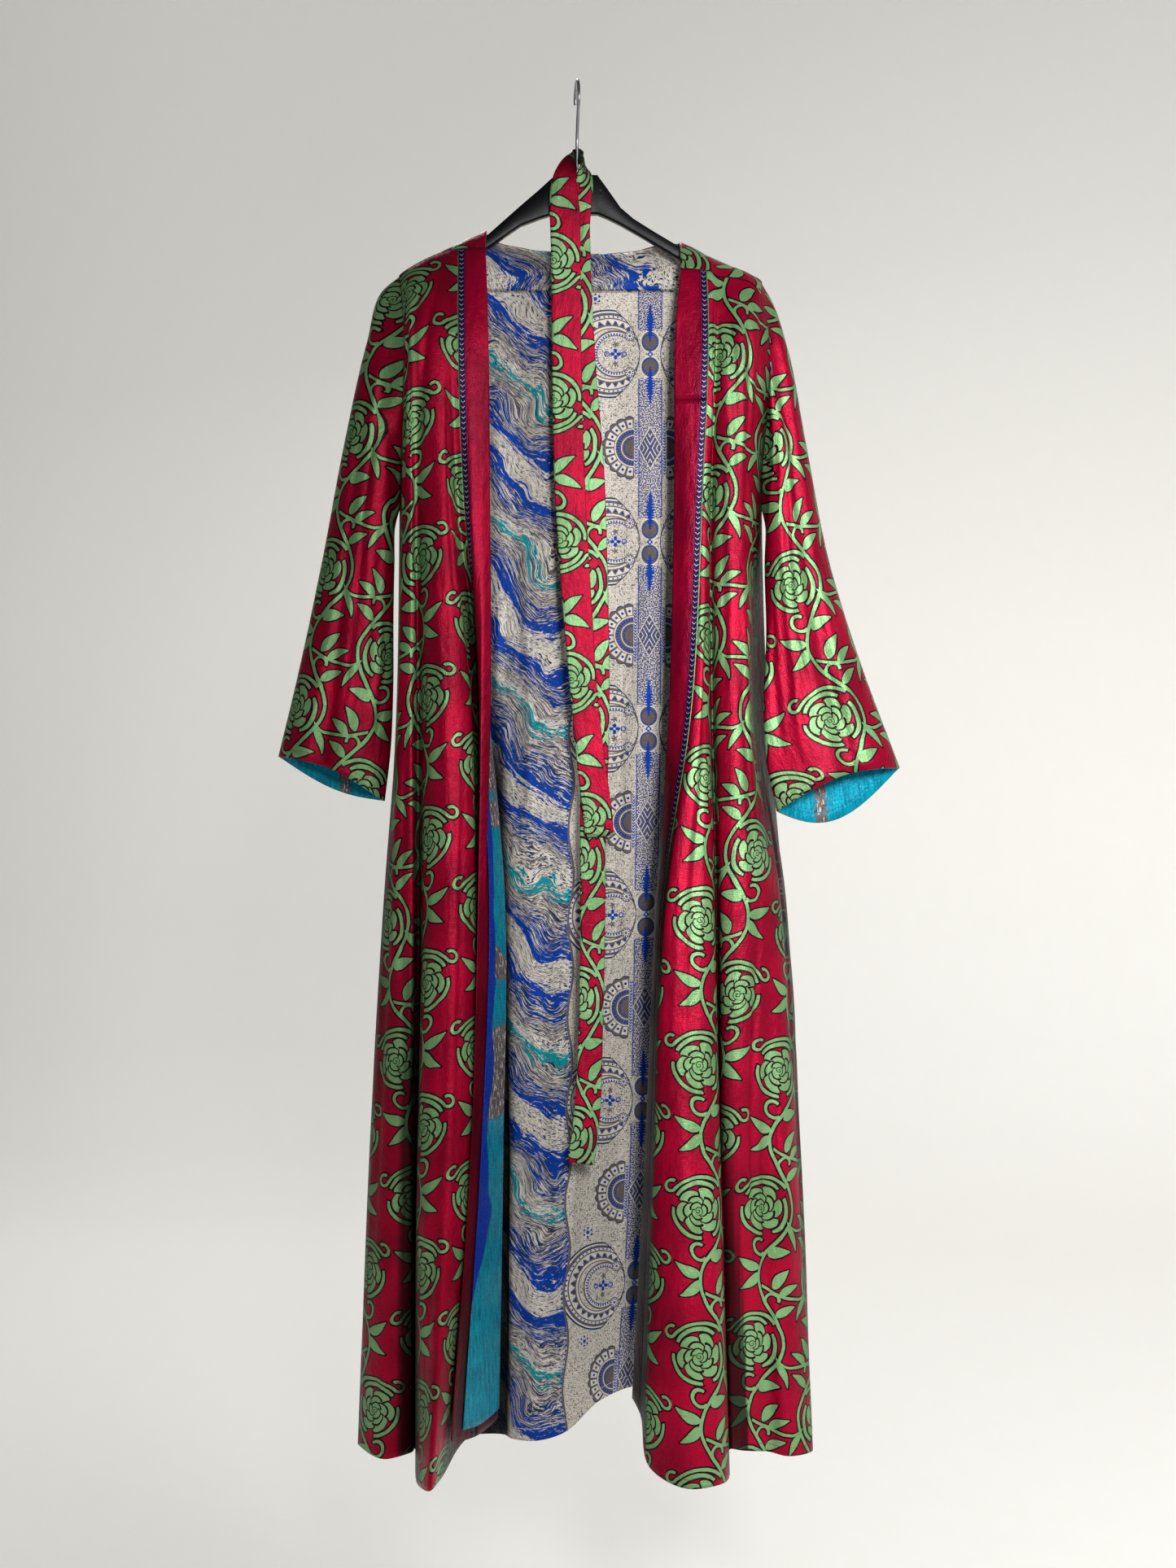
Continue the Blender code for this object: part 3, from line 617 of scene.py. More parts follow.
# the top is measured down from the hook, and the rest down from the top
sari = {
    "top": 806.0, "whole": 150.0, "pitch": 26.0, "lines": (36.0, 88.0, 138.0, 144.0), "line": 0.9,
    "curls": 17.0, "curlPitch": 7.0, "curlLine": 1.3, "curlReach": 11.5,
    "squares": 62.0, "step": 5.2, "stepLine": 1.2, "squareReach": 12.0,
    "block": 112.0, "blockReach": 23.0,
    # the pairs of leaves in the block: how far aside, their slopes, half width and half vein
    "leafAside": 6.5, "leafSlopes": (0.9, 0.32), "leafHalf": 5.2, "leafVein": 0.8, "leafSoft": 0.3,
}


def sariBorder(look, base, u, down):
    # a border across the back: curls, stepped squares and a block of leaves
    cell = (u / sari["pitch"]).sum("FRACT") * sari["pitch"] - sari["pitch"] / 2
    strip = abs(down - sari["whole"] / 2) - sari["whole"] / 2
    r, turn = polar(cell, down - sari["curls"])
    curl = offMiddle(r / sari["curlPitch"] - turn) * sari["curlPitch"] - sari["curlLine"]
    square = most(abs(cell), abs(down - sari["squares"]))
    steps = offMiddle(square / sari["step"]) * sari["step"] - sari["stepLine"]
    block, aside = abs(down - sari["block"]), abs(abs(cell) - sari["leafAside"])
    base = look.paint(base, (strip, "crimsonDark"),
                      (most(curl, r - sari["curlReach"]), "purple"),
                      (most(steps, square - sari["squareReach"]), "pale"),
                      (block - sari["blockReach"], "purple"))
    wide, long = sari["leafSlopes"]
    leaves = most(aside * wide + block * long - sari["leafHalf"], sari["leafVein"] - aside)
    base = look.paint(base, (leaves, "leaf"), soft=sari["leafSoft"])
    return look.paint(base, *((abs(down - line) - sari["line"], "leaf") for line in sari["lines"]))


# how far each strip reaches from the seam, then the chevrons' pitch and drawing
band = {
    "green": 0.9, "stripe": 7.4, "gapTo": 8.3, "lineTo": 9.1, "chevron": 5.6,
    "chevronSlope": 0.9, "chevronTip": 3.0, "chevronLine": 0.42, "chevronHalf": 2.1,
    "worn": (0.02, 0.008, 0.0, 3.0), "gloss": 0.34, "depth": 0.6,
}


def bandSilkLook(name):
    # plain red with a narrow woven border of chevrons beside the seam
    look = Look(name)
    u, v = look.cut()
    away = look.mark("seamAway")
    worn = look.ease(look.grain(u, v, *band["worn"]), *satin["wornStep"])
    middle = abs(away - (band["stripe"] + band["green"]) / 2)
    point = (v / band["chevron"]).sum("FRACT") * band["chevron"]
    point = abs(point + middle * band["chevronSlope"] - band["chevronTip"])
    base = look.paint(look.mix(worn, "bandDark", "bandRed"),
                      (away - band["lineTo"], "purple"), (away - band["gapTo"], "bandRed"),
                      (away - band["stripe"], "purple"),
                      (most(point - band["chevronLine"], middle - band["chevronHalf"]), "pale"),
                      (away - band["green"], "leafDark"))
    silkFinish(look, base, u, v, band["gloss"], band["depth"])
    return look.material


brush = {
    "repeat": 176.0, "slant": 0.62, "lean": 0.10, "swayLength": 130.0, "sway": 12.0,
    # how far each grain pushes the fields about
    "wander": 90.0, "ragged": 78.0,
    # scale across and down, seed, detail and roughness of each grain
    "wide": (0.014, 0.012, 2.0), "rough": (0.040, 0.20, 0.0, 5.0, 0.68),
    "streak": (0.030, 0.34, 4.0, 3.0, 0.6), "hair": (0.075, 0.95, 8.0),
    "dash": (0.17, 0.80, 12.0, 1.0),
    "navyDashes": (0.575, 0.60), "taupeDashes": (0.395, 0.375), "creamHairs": (0.58, 0.60),
    "navyHairs": (0.425, 0.405), "plainHairs": (0.575, 0.595), "greyHairs": (0.585, 0.605),
    "blues": [(0.0, "cream"), (0.36, "umber"), (0.41, "navy"), (0.46, "blue"), (0.53, "navy"),
              (0.56, "cream"), (0.60, "navy"), (0.65, "blue")],
    "greys": [(0.0, "navy"), (0.38, "umber"), (0.44, "cream"), (0.50, "taupe"), (0.54, "navy"),
              (0.565, "cream"), (0.62, "umber")],
    # start, end and kind of each field, in repeats; creamy between them
    "fields": [(0.0, 0.05, "sliver"), (0.05, 0.19, "greys"), (0.19, 0.33, "blues"),
               (0.33, 0.41, "plain"), (0.62, 0.70, "plain"), (0.70, 0.84, "blues"),
               (0.84, 0.93, "greys")],
    # the dark line after the slivers: where, in repeats, and its half width
    "edge": (0.05, 0.45),
    # on the yoke: scale across and down, and start
    "yoke": (1.3, 0.8, 60.0),
}


def strokes(look, u, v):
    # slanting brushed fields: creamy ones with short dashes, streaky blue ones, teal slivers
    repeat = brush["repeat"]
    wide = look.grain(u, v, *brush["wide"])
    flow = (v - u * brush["slant"] + (u * (math.tau / brush["swayLength"])).sum("SINE") * brush["sway"]
            + wide * brush["wander"])
    run = u + v * brush["lean"]
    rough = look.grain(run, flow, *brush["rough"]) - 0.5
    at = ((flow + rough * brush["ragged"]) / repeat).sum("FRACT")
    streak, hair, dash = (look.grain(run, flow, *brush[key]) for key in ("streak", "hair", "dash"))

    def over(base, grain, kind, shade):
        # strokes where the grain passes the first of two levels, full at the second
        return look.mix(look.ease(grain, *brush[kind]), base, shade)

    base = over(over("cream", dash, "navyDashes", "navy"), dash, "taupeDashes", "taupe")
    blues = over(look.ramp(streak, brush["blues"]), hair, "creamHairs", "cream")
    greys = look.ramp(streak, brush["greys"])
    fields = {
        "sliver": "sliver", "blues": over(blues, hair, "navyHairs", "navy"),
        "plain": over("blue", hair, "plainHairs", "navy"),
        "greys": over(greys, hair, "greyHairs", "navy"),
    }
    for low, high, kind in brush["fields"]:
        base = look.paint(base, (most(-at + low, at - high) * repeat, fields[kind]))
    line, half = brush["edge"]
    return look.paint(base, (abs(at - line) * repeat - half, "navy"))


paisley = {
    "repeat": 205.0, "top": 69.0, "left": 24.0, "column": 64.0, "reach": 84.0, "soft": 0.15,
    "curl": 26.0, "curlRadius": 26.0, "drawn": 0.5, "gloss": 0.50, "depth": 0.55,
    # fine noise for sprigs: its grain, and how near its middle they show on ground and curls
    "sprig": (0.42, 0.42, 7.0, 1.0), "groundSprigs": (0.022, 0.036), "curlSprigs": (0.02, 0.05),
    # rosettes of small blue marks on the ground: place, heart, and beads as count, radius, size
    "rosette": (4.0, 60.0), "rosetteHeart": 2.0, "rosetteBeads": (6.0, 5.0, 1.2),
    # the border's wavy edge, its line, and the row of dots beside it
    "wave": 3.0, "edgeLine": 2.4, "dotRow": 3.6, "dotPitch": 5.2, "dot": 1.1,
}


def spokes(turn, r, count):
    # how far aside of the nearest of a ring of spokes
    return offMiddle(turn * count) * r * (math.tau / count)


def beads(turn, r, count, at, size):
    # round dots along an arc
    return reach(spokes(turn, r, count), r - at) - size


def sprigged(look, sprig, near):
    return look.mix(look.ease(abs(sprig - 0.5), *near, 1.0, 0.0), "cream", "taupe")


def printed(look, base, *layers):
    return look.paint(base, *layers, soft=paisley["soft"])


hooks = {
    "lean": 0.16, "outer": 47.0, "taper": 0.62, "end": 60.0, "line": 0.7,
    # bands across the hook, in parts of its end's reach
    "bands": [(0.0, "cream"), (0.445, "taupe"), (0.462, "cream"), (0.50, "taupe"), (0.60, "cream"),
              (0.625, "taupe"), (0.645, "cream"), (0.69, "navy"), (0.70, "taupe"),
              (0.735, "cream"), (0.765, "navy")],
    # teeth: how many, how tall, their tips and their feet
    "teeth": (26.0, 6.2, 37.0, 36.5), "beads": [(26.0, 33.0, 1.3), (52.0, 40.2, 0.95)],
}


def drawHooks(look, base, x, y):
    # hooks that sweep round each curl in bands
    aside = x - paisley["curl"]
    r, turn = polar(aside, y)
    q = r + aside * hooks["lean"]
    outer = aside.sum("MAXIMUM", 0.0) * -hooks["taper"] + hooks["outer"]
    hook = most(paisley["curlRadius"] - q, q - outer, x - hooks["end"])
    count, tall, tips, feet = hooks["teeth"]
    teeth = offMiddle(turn * count) * 2.0 * -tall - q + tips
    dots = [(most(beads(turn, q, *row), hook), "blue") for row in hooks["beads"]]
    return printed(look, base, (hook, look.ramp(q / hooks["end"], hooks["bands"])),
                   (most(teeth, q - feet, hook), "cream"), *dots,
                   (most(abs(q - outer) - hooks["line"], x - hooks["end"]), "navy"))


curls = {
    "open": 14.0, "rim": 19.6, "bandScale": 30.0,
    "bands": [(0.0, "cream"), (0.66, "taupe"), (0.69, "cream"), (0.80, "taupe")],
    # the rim's teeth: how many, half width, radius and half height
    "teeth": (44.0, 0.75, 21.6, 1.4),
    # the curl's tip: place, then taupe, cream, beads and heart
    "tip": (15.5, 20.0), "tipRadius": 5.8, "tipCream": 4.6, "tipBeads": (9.0, 3.6, 0.8),
    "tipHeart": 1.5,
    # flowers inside: four petals, a ring at each side, and lobes above and below
    "petal": 4.6, "petalBase": 1.4, "heart": 1.2, "ringAside": 9.5, "ring": 2.4, "ringLine": 0.6,
    "lobesAt": 10.5, "lobe": 2.6, "lobeBase": 0.8,
}


def drawCurls(look, base, x, y, sprig):
    # round curls with a toothed rim, open towards the column
    aside = x - paisley["curl"]
    r, turn = polar(aside, y)
    rim = most(r - paisley["curlRadius"], aside - curls["open"])
    count, half, radius, height = curls["teeth"]
    comb = most(spokes(turn, r, count) - half, abs(r - radius) - height, rim)
    tipR, tipTurn = polar(aside - curls["tip"][0], y - curls["tip"][1])
    petals = r - abs((turn * (2.0 * math.tau)).sum("COSINE")) * curls["petal"] - curls["petalBase"]
    ring = abs(reach(abs(aside) - curls["ringAside"], y) - curls["ring"]) - curls["ringLine"]
    lobeR, lobeTurn = polar(aside, y - curls["lobesAt"])
    lobes = lobeR - abs((lobeTurn * (2.5 * math.tau)).sum("SINE")) * curls["lobe"] - curls["lobeBase"]
    return printed(look, base, (r - paisley["curlRadius"], sprigged(look, sprig, paisley["curlSprigs"])),
                   (most(rim, curls["rim"] - r), look.ramp(r / curls["bandScale"], curls["bands"])),
                   (comb, "blue"), (tipR - curls["tipRadius"], "taupe"),
                   (tipR - curls["tipCream"], "cream"),
                   (beads(tipTurn, tipR, *curls["tipBeads"]), "blue"),
                   (tipR - curls["tipHeart"], "taupe"), (petals, "blue"),
                   (r - curls["heart"], "cream"), (ring, "blue"), (lobes, "taupe"))


fans = {
    "at": 46.0, "scallops": 10.0, "scallop": 2.4, "edge": 33.0, "inside": 32.0,
    # petals: how many, their middle and half length, how fast they widen, and half width
    "petals": (20.0, 26.5, 4.4, 7.6, 2.7), "petalBeads": (20.0, 26.5, 1.5),
    # lines as radius and half width, teeth as count, half width, radius and half height
    "lines": [(20.6, 0.7), (13.4, 0.5)], "teeth": (36.0, 0.8, 17.4, 1.8), "beads": (22.0, 10.4, 1.0),
    # the feathered strip along the open side
    "stripAt": 2.2, "stripHalf": 1.7, "stripReach": 30.0, "featherPitch": 3.2,
    "featherSlope": 0.35, "featherLine": 0.8,
}


def drawFans(look, base, x, y, v):
    # fans between the curls
    top = paisley["repeat"] / 2
    openSide = x - fans["at"]
    r, turn = polar(openSide, y - top)
    scallop = abs((turn * (fans["scallops"] * math.tau)).sum("SINE")) * fans["scallop"]
    count, middle, length, widens, wide = fans["petals"]
    petal = most(abs(r - middle) - length, offMiddle(turn * count) * widens - wide)
    count, half, radius, height = fans["teeth"]
    comb = most(spokes(turn, r, count) - half, abs(r - radius) - height)
    first, second = (abs(r - line) - thin for line, thin in fans["lines"])
    shapes = [(r - fans["edge"] - scallop, "navy"), (r - fans["inside"] - scallop, "taupe"),
              (petal, "cream"), (beads(turn, r, *fans["petalBeads"]), "blue"), (first, "cream"),
              (comb, "blue"), (second, "cream"), (beads(turn, r, *fans["beads"]), "blue")]
    strip = abs(openSide - fans["stripAt"])
    pitch = fans["featherPitch"]
    feather = offMiddle(v / pitch + strip * fans["featherSlope"]) * pitch - fans["featherLine"]
    strip = most(strip - fans["stripHalf"], abs(y - top) - fans["stripReach"])
    return printed(look, base, *((most(shape, openSide), shade) for shape, shade in shapes),
                   (most(strip, feather), "blue"))


column = {
    "half": 13.6, "from": 26.0, "specks": (0.75, 0.75, 3.0, 0.0), "creamSpecks": 0.53,
    "blueSpecks": 0.40, "speckSlope": 60.0, "lineAt": 12.6, "line": 0.45, "lineFrom": 28.0,
    # onions: place, radius, how they flatten above and lean in, and the rim round them
    "onionAt": 13.0, "onion": 10.0, "onionFlat": 0.15, "onionLean": 0.05, "onionRim": 1.6,
    "onionBeads": (20.0, 8.4, 0.95),
    # small trees: place, half height, half width, slope, and their toothed sides
    "treeAt": 34.0, "treeHalf": 20.0, "tree": 6.4, "treeSlope": 0.26, "toothPitch": 2.9,
    "tooth": 0.75, "toothBase": 0.30,
    # the diamond: its slope, edge, ground and lattice, then the lines that cross the lattice
    "diamondSlope": 1.75, "diamond": 24.0, "diamondGround": 22.0, "lattice": 20.0,
    "latticePitch": 5.5, "latticeLine": 0.9, "crossSlopes": (0.9, 0.5), "crossPitch": 4.0,
    "crossLine": 0.5, "waist": 3.6, "waistHeart": 1.6,
}


def drawColumn(look, base, x, y, u, v):
    # the column in the middle: onion forms, small trees and a diamond lattice
    d = column
    across, up = abs(x - paisley["column"]), y - d["onionAt"]
    fill = most(across - d["half"], d["from"] - y)
    specks = look.grain(u, v, *d["specks"])
    line = abs(across - d["lineAt"]) - d["line"] + (d["lineFrom"] - y).sum("MAXIMUM", 0.0)
    onion = reach(across, up) - d["onion"] - up.sum("MAXIMUM", 0.0) * d["onionFlat"]
    onion = onion + across * d["onionLean"]
    r, turn = polar(x - paisley["column"], up)
    tooth = offMiddle(y / d["toothPitch"]) * 2.0 * d["tooth"] + d["toothBase"]
    high = abs(y - d["treeAt"])
    tree = (high * -d["treeSlope"] + d["tree"]) * tooth
    below = abs(y - paisley["repeat"] / 2)
    diamond = across * d["diamondSlope"] + below
    lattice = offMiddle(diamond / d["latticePitch"]) * d["latticePitch"] - d["latticeLine"]
    cross = abs(across * d["crossSlopes"][0] - below * d["crossSlopes"][1])
    cross = offMiddle(cross / d["crossPitch"]) * d["crossPitch"] - d["crossLine"]
    waist = across + y
    return printed(look, base, (fill, "taupe"),
                   (most(fill, (d["creamSpecks"] - specks) * d["speckSlope"]), "cream"),
                   (most(fill, (specks - d["blueSpecks"]) * d["speckSlope"]), "blue"),
                   (line, "blue"), (onion - d["onionRim"], "cream"), (onion, "taupe"),
                   (beads(turn, r, *d["onionBeads"]), "blue"),
                   (most(across - tree, high - d["treeHalf"]), "blue"),
                   (diamond - d["diamond"], "cream"), (diamond - d["diamondGround"], "taupe"),
                   (most(diamond - d["lattice"], lattice), "blue"),
                   (most(diamond - d["lattice"], cross), "cream"),
                   (waist - d["waist"], "blue"), (waist - d["waistHeart"], "cream"))


def paisleyBorder(look, u, v):
    # the same to the left and right of the column, and above and below each curl
    x = abs(u - paisley["column"]) * -1.0 + paisley["column"]
    y = abs(nearest(v - paisley["top"], paisley["repeat"]))
    sprig = look.grain(u, v, *paisley["sprig"])
    r, turn = polar(x - paisley["rosette"][0], y - paisley["rosette"][1])
    marks = least(r - paisley["rosetteHeart"], beads(turn, r, *paisley["rosetteBeads"]))
    base = printed(look, sprigged(look, sprig, paisley["groundSprigs"]), (marks, "blue"))
    base = drawHooks(look, base, x, y)
    base = drawCurls(look, base, x, y, sprig)
    base = drawFans(look, base, x, y, v)
    return drawColumn(look, base, x, y, u, v)


def printedLining(name):
    look = Look(name)
    u, v = look.cut()
    x, y = handDrawn(look, u, v, paisley["drawn"])
    x = x - paisley["left"]
    away = abs(x - paisley["column"]) - paisley["reach"]
    wavy = (y * (math.tau / (paisley["repeat"] / 2))).sum("SINE") * paisley["wave"]
    dots = offMiddle(v / paisley["dotPitch"]) * paisley["dotPitch"]
    row = ((away + wavy - paisley["dotRow"]) ** 2.0 + dots * dots).sum("SQRT") - paisley["dot"]
    base = look.paint(strokes(look, u, v), (away + wavy - paisley["edgeLine"], "taupe"),
                      (row, "blue"), (away + wavy, paisleyBorder(look, x, y)))
    base = stitched(look, base, look.mark("hemAway"), u, stitch["printed"], "cream")
    silkFinish(look, base, u, v, paisley["gloss"], paisley["depth"])
    return look.material


def yokePrinted(name):
    # the brushed fields alone, turned to run across
    look = Look(name)
    u, v = look.cut()
    across, down, start = brush["yoke"]
    base = strokes(look, v * across, u * down + start)
    silkFinish(look, base, u, v, paisley["gloss"], paisley["depth"])
    return look.material


tealSilk = {
    # scale across and down, seed, detail and roughness of each grain
    "brushed": (0.30, 0.04, 0.0, 4.0, 0.6), "hair": (0.55, 0.10, 5.0, 3.0), "ragged": 30.0,
    "tones": (0.30, 0.70), "soft": 0.6,
    "greys": [(0.0, "navy"), (0.38, "umber"), (0.50, "taupe"), (0.585, "cream")],
    # the blue border along the left front's band, in folds: its edge, waves and narrowing
    "edge": 2.05, "edgeSoft": 0.01, "edgeScale": 0.011, "edgeWander": 1.5,
    "edgeWave": 0.22, "edgeWaveLength": 150.0,
    "narrowFrom": 1030.0, "narrowTo": 1200.0, "narrows": 1.3,
    "patches": (0.006, 0.0105, 6.0, 1.0), "patchLevel": 0.60, "patchSlope": 400.0,
    # the printed strip beside each sleeve's seam, in folds
    "stripAt": 16.6, "stripSlant": 0.02, "foldWidth": 14.0, "stripHalf": 8.0, "stripUp": 46.0,
    "hemLine": 11.5, "hemLineHalf": 0.5, "hemLineSoft": 0.4,
    "gloss": 0.26, "depth": 0.9, "metal": 0.2,
}


def tealCloth(look, u, v, patched):
    # brushed teal, with a grey print where the distance is below nought
    brushed = look.grain(u, v, *tealSilk["brushed"])
    tone = look.mix(look.ease(brushed, *tealSilk["tones"]), "deepTeal", "teal")
    hair = look.grain(u, v, *tealSilk["hair"])
    edge = patched + (hair - 0.5) * tealSilk["ragged"]
    return look.paint(tone, (edge, look.ramp(hair, tealSilk["greys"])), soft=tealSilk["soft"])


def foldedLining(name):
    # the left front's lining: a blue border along the band, then teal
    look = Look(name)
    u, v = look.cut()
    wander = look.noise(look.point(v * tealSilk["edgeScale"], 4.0), 1.0, 1.0)
    edge = (wander * tealSilk["edgeWander"] + tealSilk["edge"]
            + (v / tealSilk["edgeWaveLength"]).sum("SINE") * tealSilk["edgeWave"])
    narrow = look.ease(v, tealSilk["narrowFrom"], tealSilk["narrowTo"])
    edge = edge - narrow * tealSilk["narrows"]
    patches = look.grain(u, v, *tealSilk["patches"])
    patched = (tealSilk["patchLevel"] - patches) * tealSilk["patchSlope"]
    base = look.paint(tealCloth(look, u, v, patched), (look.mark("fold") - edge, "royal"),
                      soft=tealSilk["edgeSoft"])
    base = stitched(look, base, look.mark("hemAway"), u, stitch["folded"], "deepTeal")
    silkFinish(look, base, u, v, tealSilk["gloss"], tealSilk["depth"], tealSilk["metal"])
    return look.material


def tealLining(name):
    look = Look(name)
    u, v = look.cut()
    hem = look.mark("hemAway")
    strip = abs(look.mark("fold") - tealSilk["stripAt"] - hem * tealSilk["stripSlant"])
    strip = strip * tealSilk["foldWidth"] - tealSilk["stripHalf"]
    base = tealCloth(look, u, v, most(strip, hem - tealSilk["stripUp"]))
    base = stitched(look, base, hem, u, stitch["teal"], "deepTeal")
    line = abs(hem - tealSilk["hemLine"]) - tealSilk["hemLineHalf"]
    base = look.paint(base, (line, "deepTeal"), soft=tealSilk["hemLineSoft"])
    silkFinish(look, base, u, v, tealSilk["gloss"], tealSilk["depth"], tealSilk["metal"])
    return look.material


plain = {
    # how dark the fine grain gets, between which levels, and what it does to gloss and relief
    "dark": 0.8, "tones": (0.3, 0.7), "roughens": 0.16, "bump": 0.12, "relief": 0.0004,
    # how deep the hole's edge is, and between which distances
    "holeDepth": 6.0, "holeEdge": (-0.3, 0.6),
    # colour, roughness, metal, grain, shine, and a round hole's x, z and radius
    "plastic": (colour(6, 7, 9), 0.22, 0.0, 900.0, 0.14, (25.5, -119.7, 1.7)),
    "steel": (colour(168, 168, 172), 0.22, 1.0, 1500.0, 0.5, None),
}


def plainFinish(name, base, roughness, metal, grain, shine, hole):
    look = Look(name)
    fine = look.noise(look.place(), grain, 3.0)
    dark = (*(c * plain["dark"] for c in base[:3]), 1.0)
    shade, height = look.mix(look.ease(fine, *plain["tones"]), dark, base), fine
    if hole:
        x, _, z = look.parts(look.place())
        r = reach(x - hole[0] * mm, z - hole[1] * mm) * 1000.0 - hole[2]
        # painted shade: the hole is painted near black in place of its shaded recess
        shade = look.paint(shade, (r, grey(0.001)), soft=0.2)
        height = fine + look.ease(r, *plain["holeEdge"]) * plain["holeDepth"]
    look.set(Base_Color=shade, Roughness=fine * plain["roughens"] + roughness,
             Normal=look.bump(height, plain["bump"], plain["relief"]), Metallic=metal,
             Specular_IOR_Level=shine)
    return look.material


print("materials")
outerSilk = roseSilk("rose silk")
bandSilk = bandSilkLook("plain band silk")
liningPrint = printedLining("printed lining")
yokePrint = yokePrinted("printed lining of the yoke")
liningTeal = tealLining("teal lining")
liningFolded = foldedLining("blue and teal lining")
blackPlastic = plainFinish("black moulded plastic", *plain["plastic"])
steelWire = plainFinish("steel wire", *plain["steel"])

# x, y, z at the shoulder seam, then x, y at each level, then x, y, z at the hem
leftFrontFolds = [
    [-98, -20, -182, -95, -38, -92, -48, -91, -58, -96, -72, -104, -82, -127, -82, -1441],  # edge
    [-105, -20, -183, -103, -40, -101, -54, -101, -66, -103, -79, -110, -89, -131, -89, -1443],  # fold
    [-113, -19, -183, -113, -41, -111, -57, -103, -54, -94, -58, -102, -68, -122, -68, -1450],  # middle
    [-128, -17, -184, -127, -42, -120, -52, -97, -42, -86, -42, -93, -48, -109, -46, -1452],  # seam
    [-132, -15, -184, -132, -42, -126, -50, -96, -32, -79, -25, -81, -10, -87, 12, -1447],  # deep
    [-137, -12, -184, -137, -42, -130, -57, -109, -50, -102, -50, -101, -46, -119, -28, -1460],  # return
    [-141, -8, -184, -142, -42, -134, -66, -114, -76, -111, -84, -116, -92, -142, -98, -1483],  # inner
    [-149, -5, -186, -150, -42, -140, -68, -128, -86, -126, -96, -131, -108, -150, -122, -1487],  # main
    [-161, -5, -191, -160, -41, -157, -62, -154, -76, -155, -84, -157, -98, -165, -88, -1492],  # outer
    [-170, -5, -196, -169, -40, -171, -50, -170, -50, -169, -48, -171, -26, -176, 6, -1479],  # valley
    [-176, -5, -199, -175, -39, -175, -54, -175, -58, -173, -62, -176, -50, -179, -22, -1476],  # side
    [-183, -5, -203, -180, -37, -182, -50, -185, -54, -188, -58, -199, -46, -205, -28, -1481],  # crest
    [-187, -5, -206, -184, -33, -188, -26, -192, -26, -205, -28, -222, -14, -237, 4, -1474],  # turn
    [-192, -5, -210, -187, -27, -192, 2, -196, 4, -208, 18, -222, 28, -235, 40, -1482],  # seam
]
rightFrontFolds = [
    [111, -32, -208, 107, -40, 103, -50, 97, -58, 84, -50, 73, -28, 59, -22, -1417],  # edge
    [121, -32, -208, 121, -42, 116, -58, 107, -68, 85, -68, 75, -46, 62, -40, -1418],  # middle
    [139, -32, -210, 140, -43, 133, -61, 120, -76, 90, -85, 78, -65, 67, -58, -1425],  # seam
    [142, -32, -210, 142, -43, 135, -61, 123, -79, 96, -95, 83, -92, 76, -98, -1470],  # crest
    [144, -32, -211, 144, -43, 137, -60, 131, -80, 118, -98, 115, -112, 115, -123, -1485],  # column
    [146, -31, -213, 146, -43, 140, -56, 138, -70, 140, -88, 143, -102, 148, -112, -1484],  # its side
    [151, -30, -216, 150, -41, 143, -44, 144, -50, 148, -56, 152, -42, 161, -18, -1478],  # deep valley
    [157, -29, -216, 156, -42, 148, -54, 149, -62, 153, -74, 156, -76, 165, -42, -1466],  # second left
    [168, -28, -217, 167, -43, 163, -62, 164, -72, 170, -80, 172, -78, 176, -34, -1470],  # second middle
    [179, -27, -219, 178, -42, 178, -57, 180, -66, 188, -74, 190, -66, 193, -26, -1473],  # second right
    [185, -27, -221, 184, -40, 184, -48, 186, -48, 199, -64, 197, -58, 205, -20, -1475],  # third left
    [190, -27, -225, 190, -37, 190, -36, 189, -32, 209, -52, 216, -56, 223, -26, -1478],  # third middle
    [194, -27, -230, 195, -33, 196, -20, 196, -10, 221, -26, 238, -24, 253, -6, -1479],  # turn
    [197, -26, -235, 200, -27, 200, 2, 208, 14, 224, 12, 239, 26, 251, 38, -1478],  # seam
]
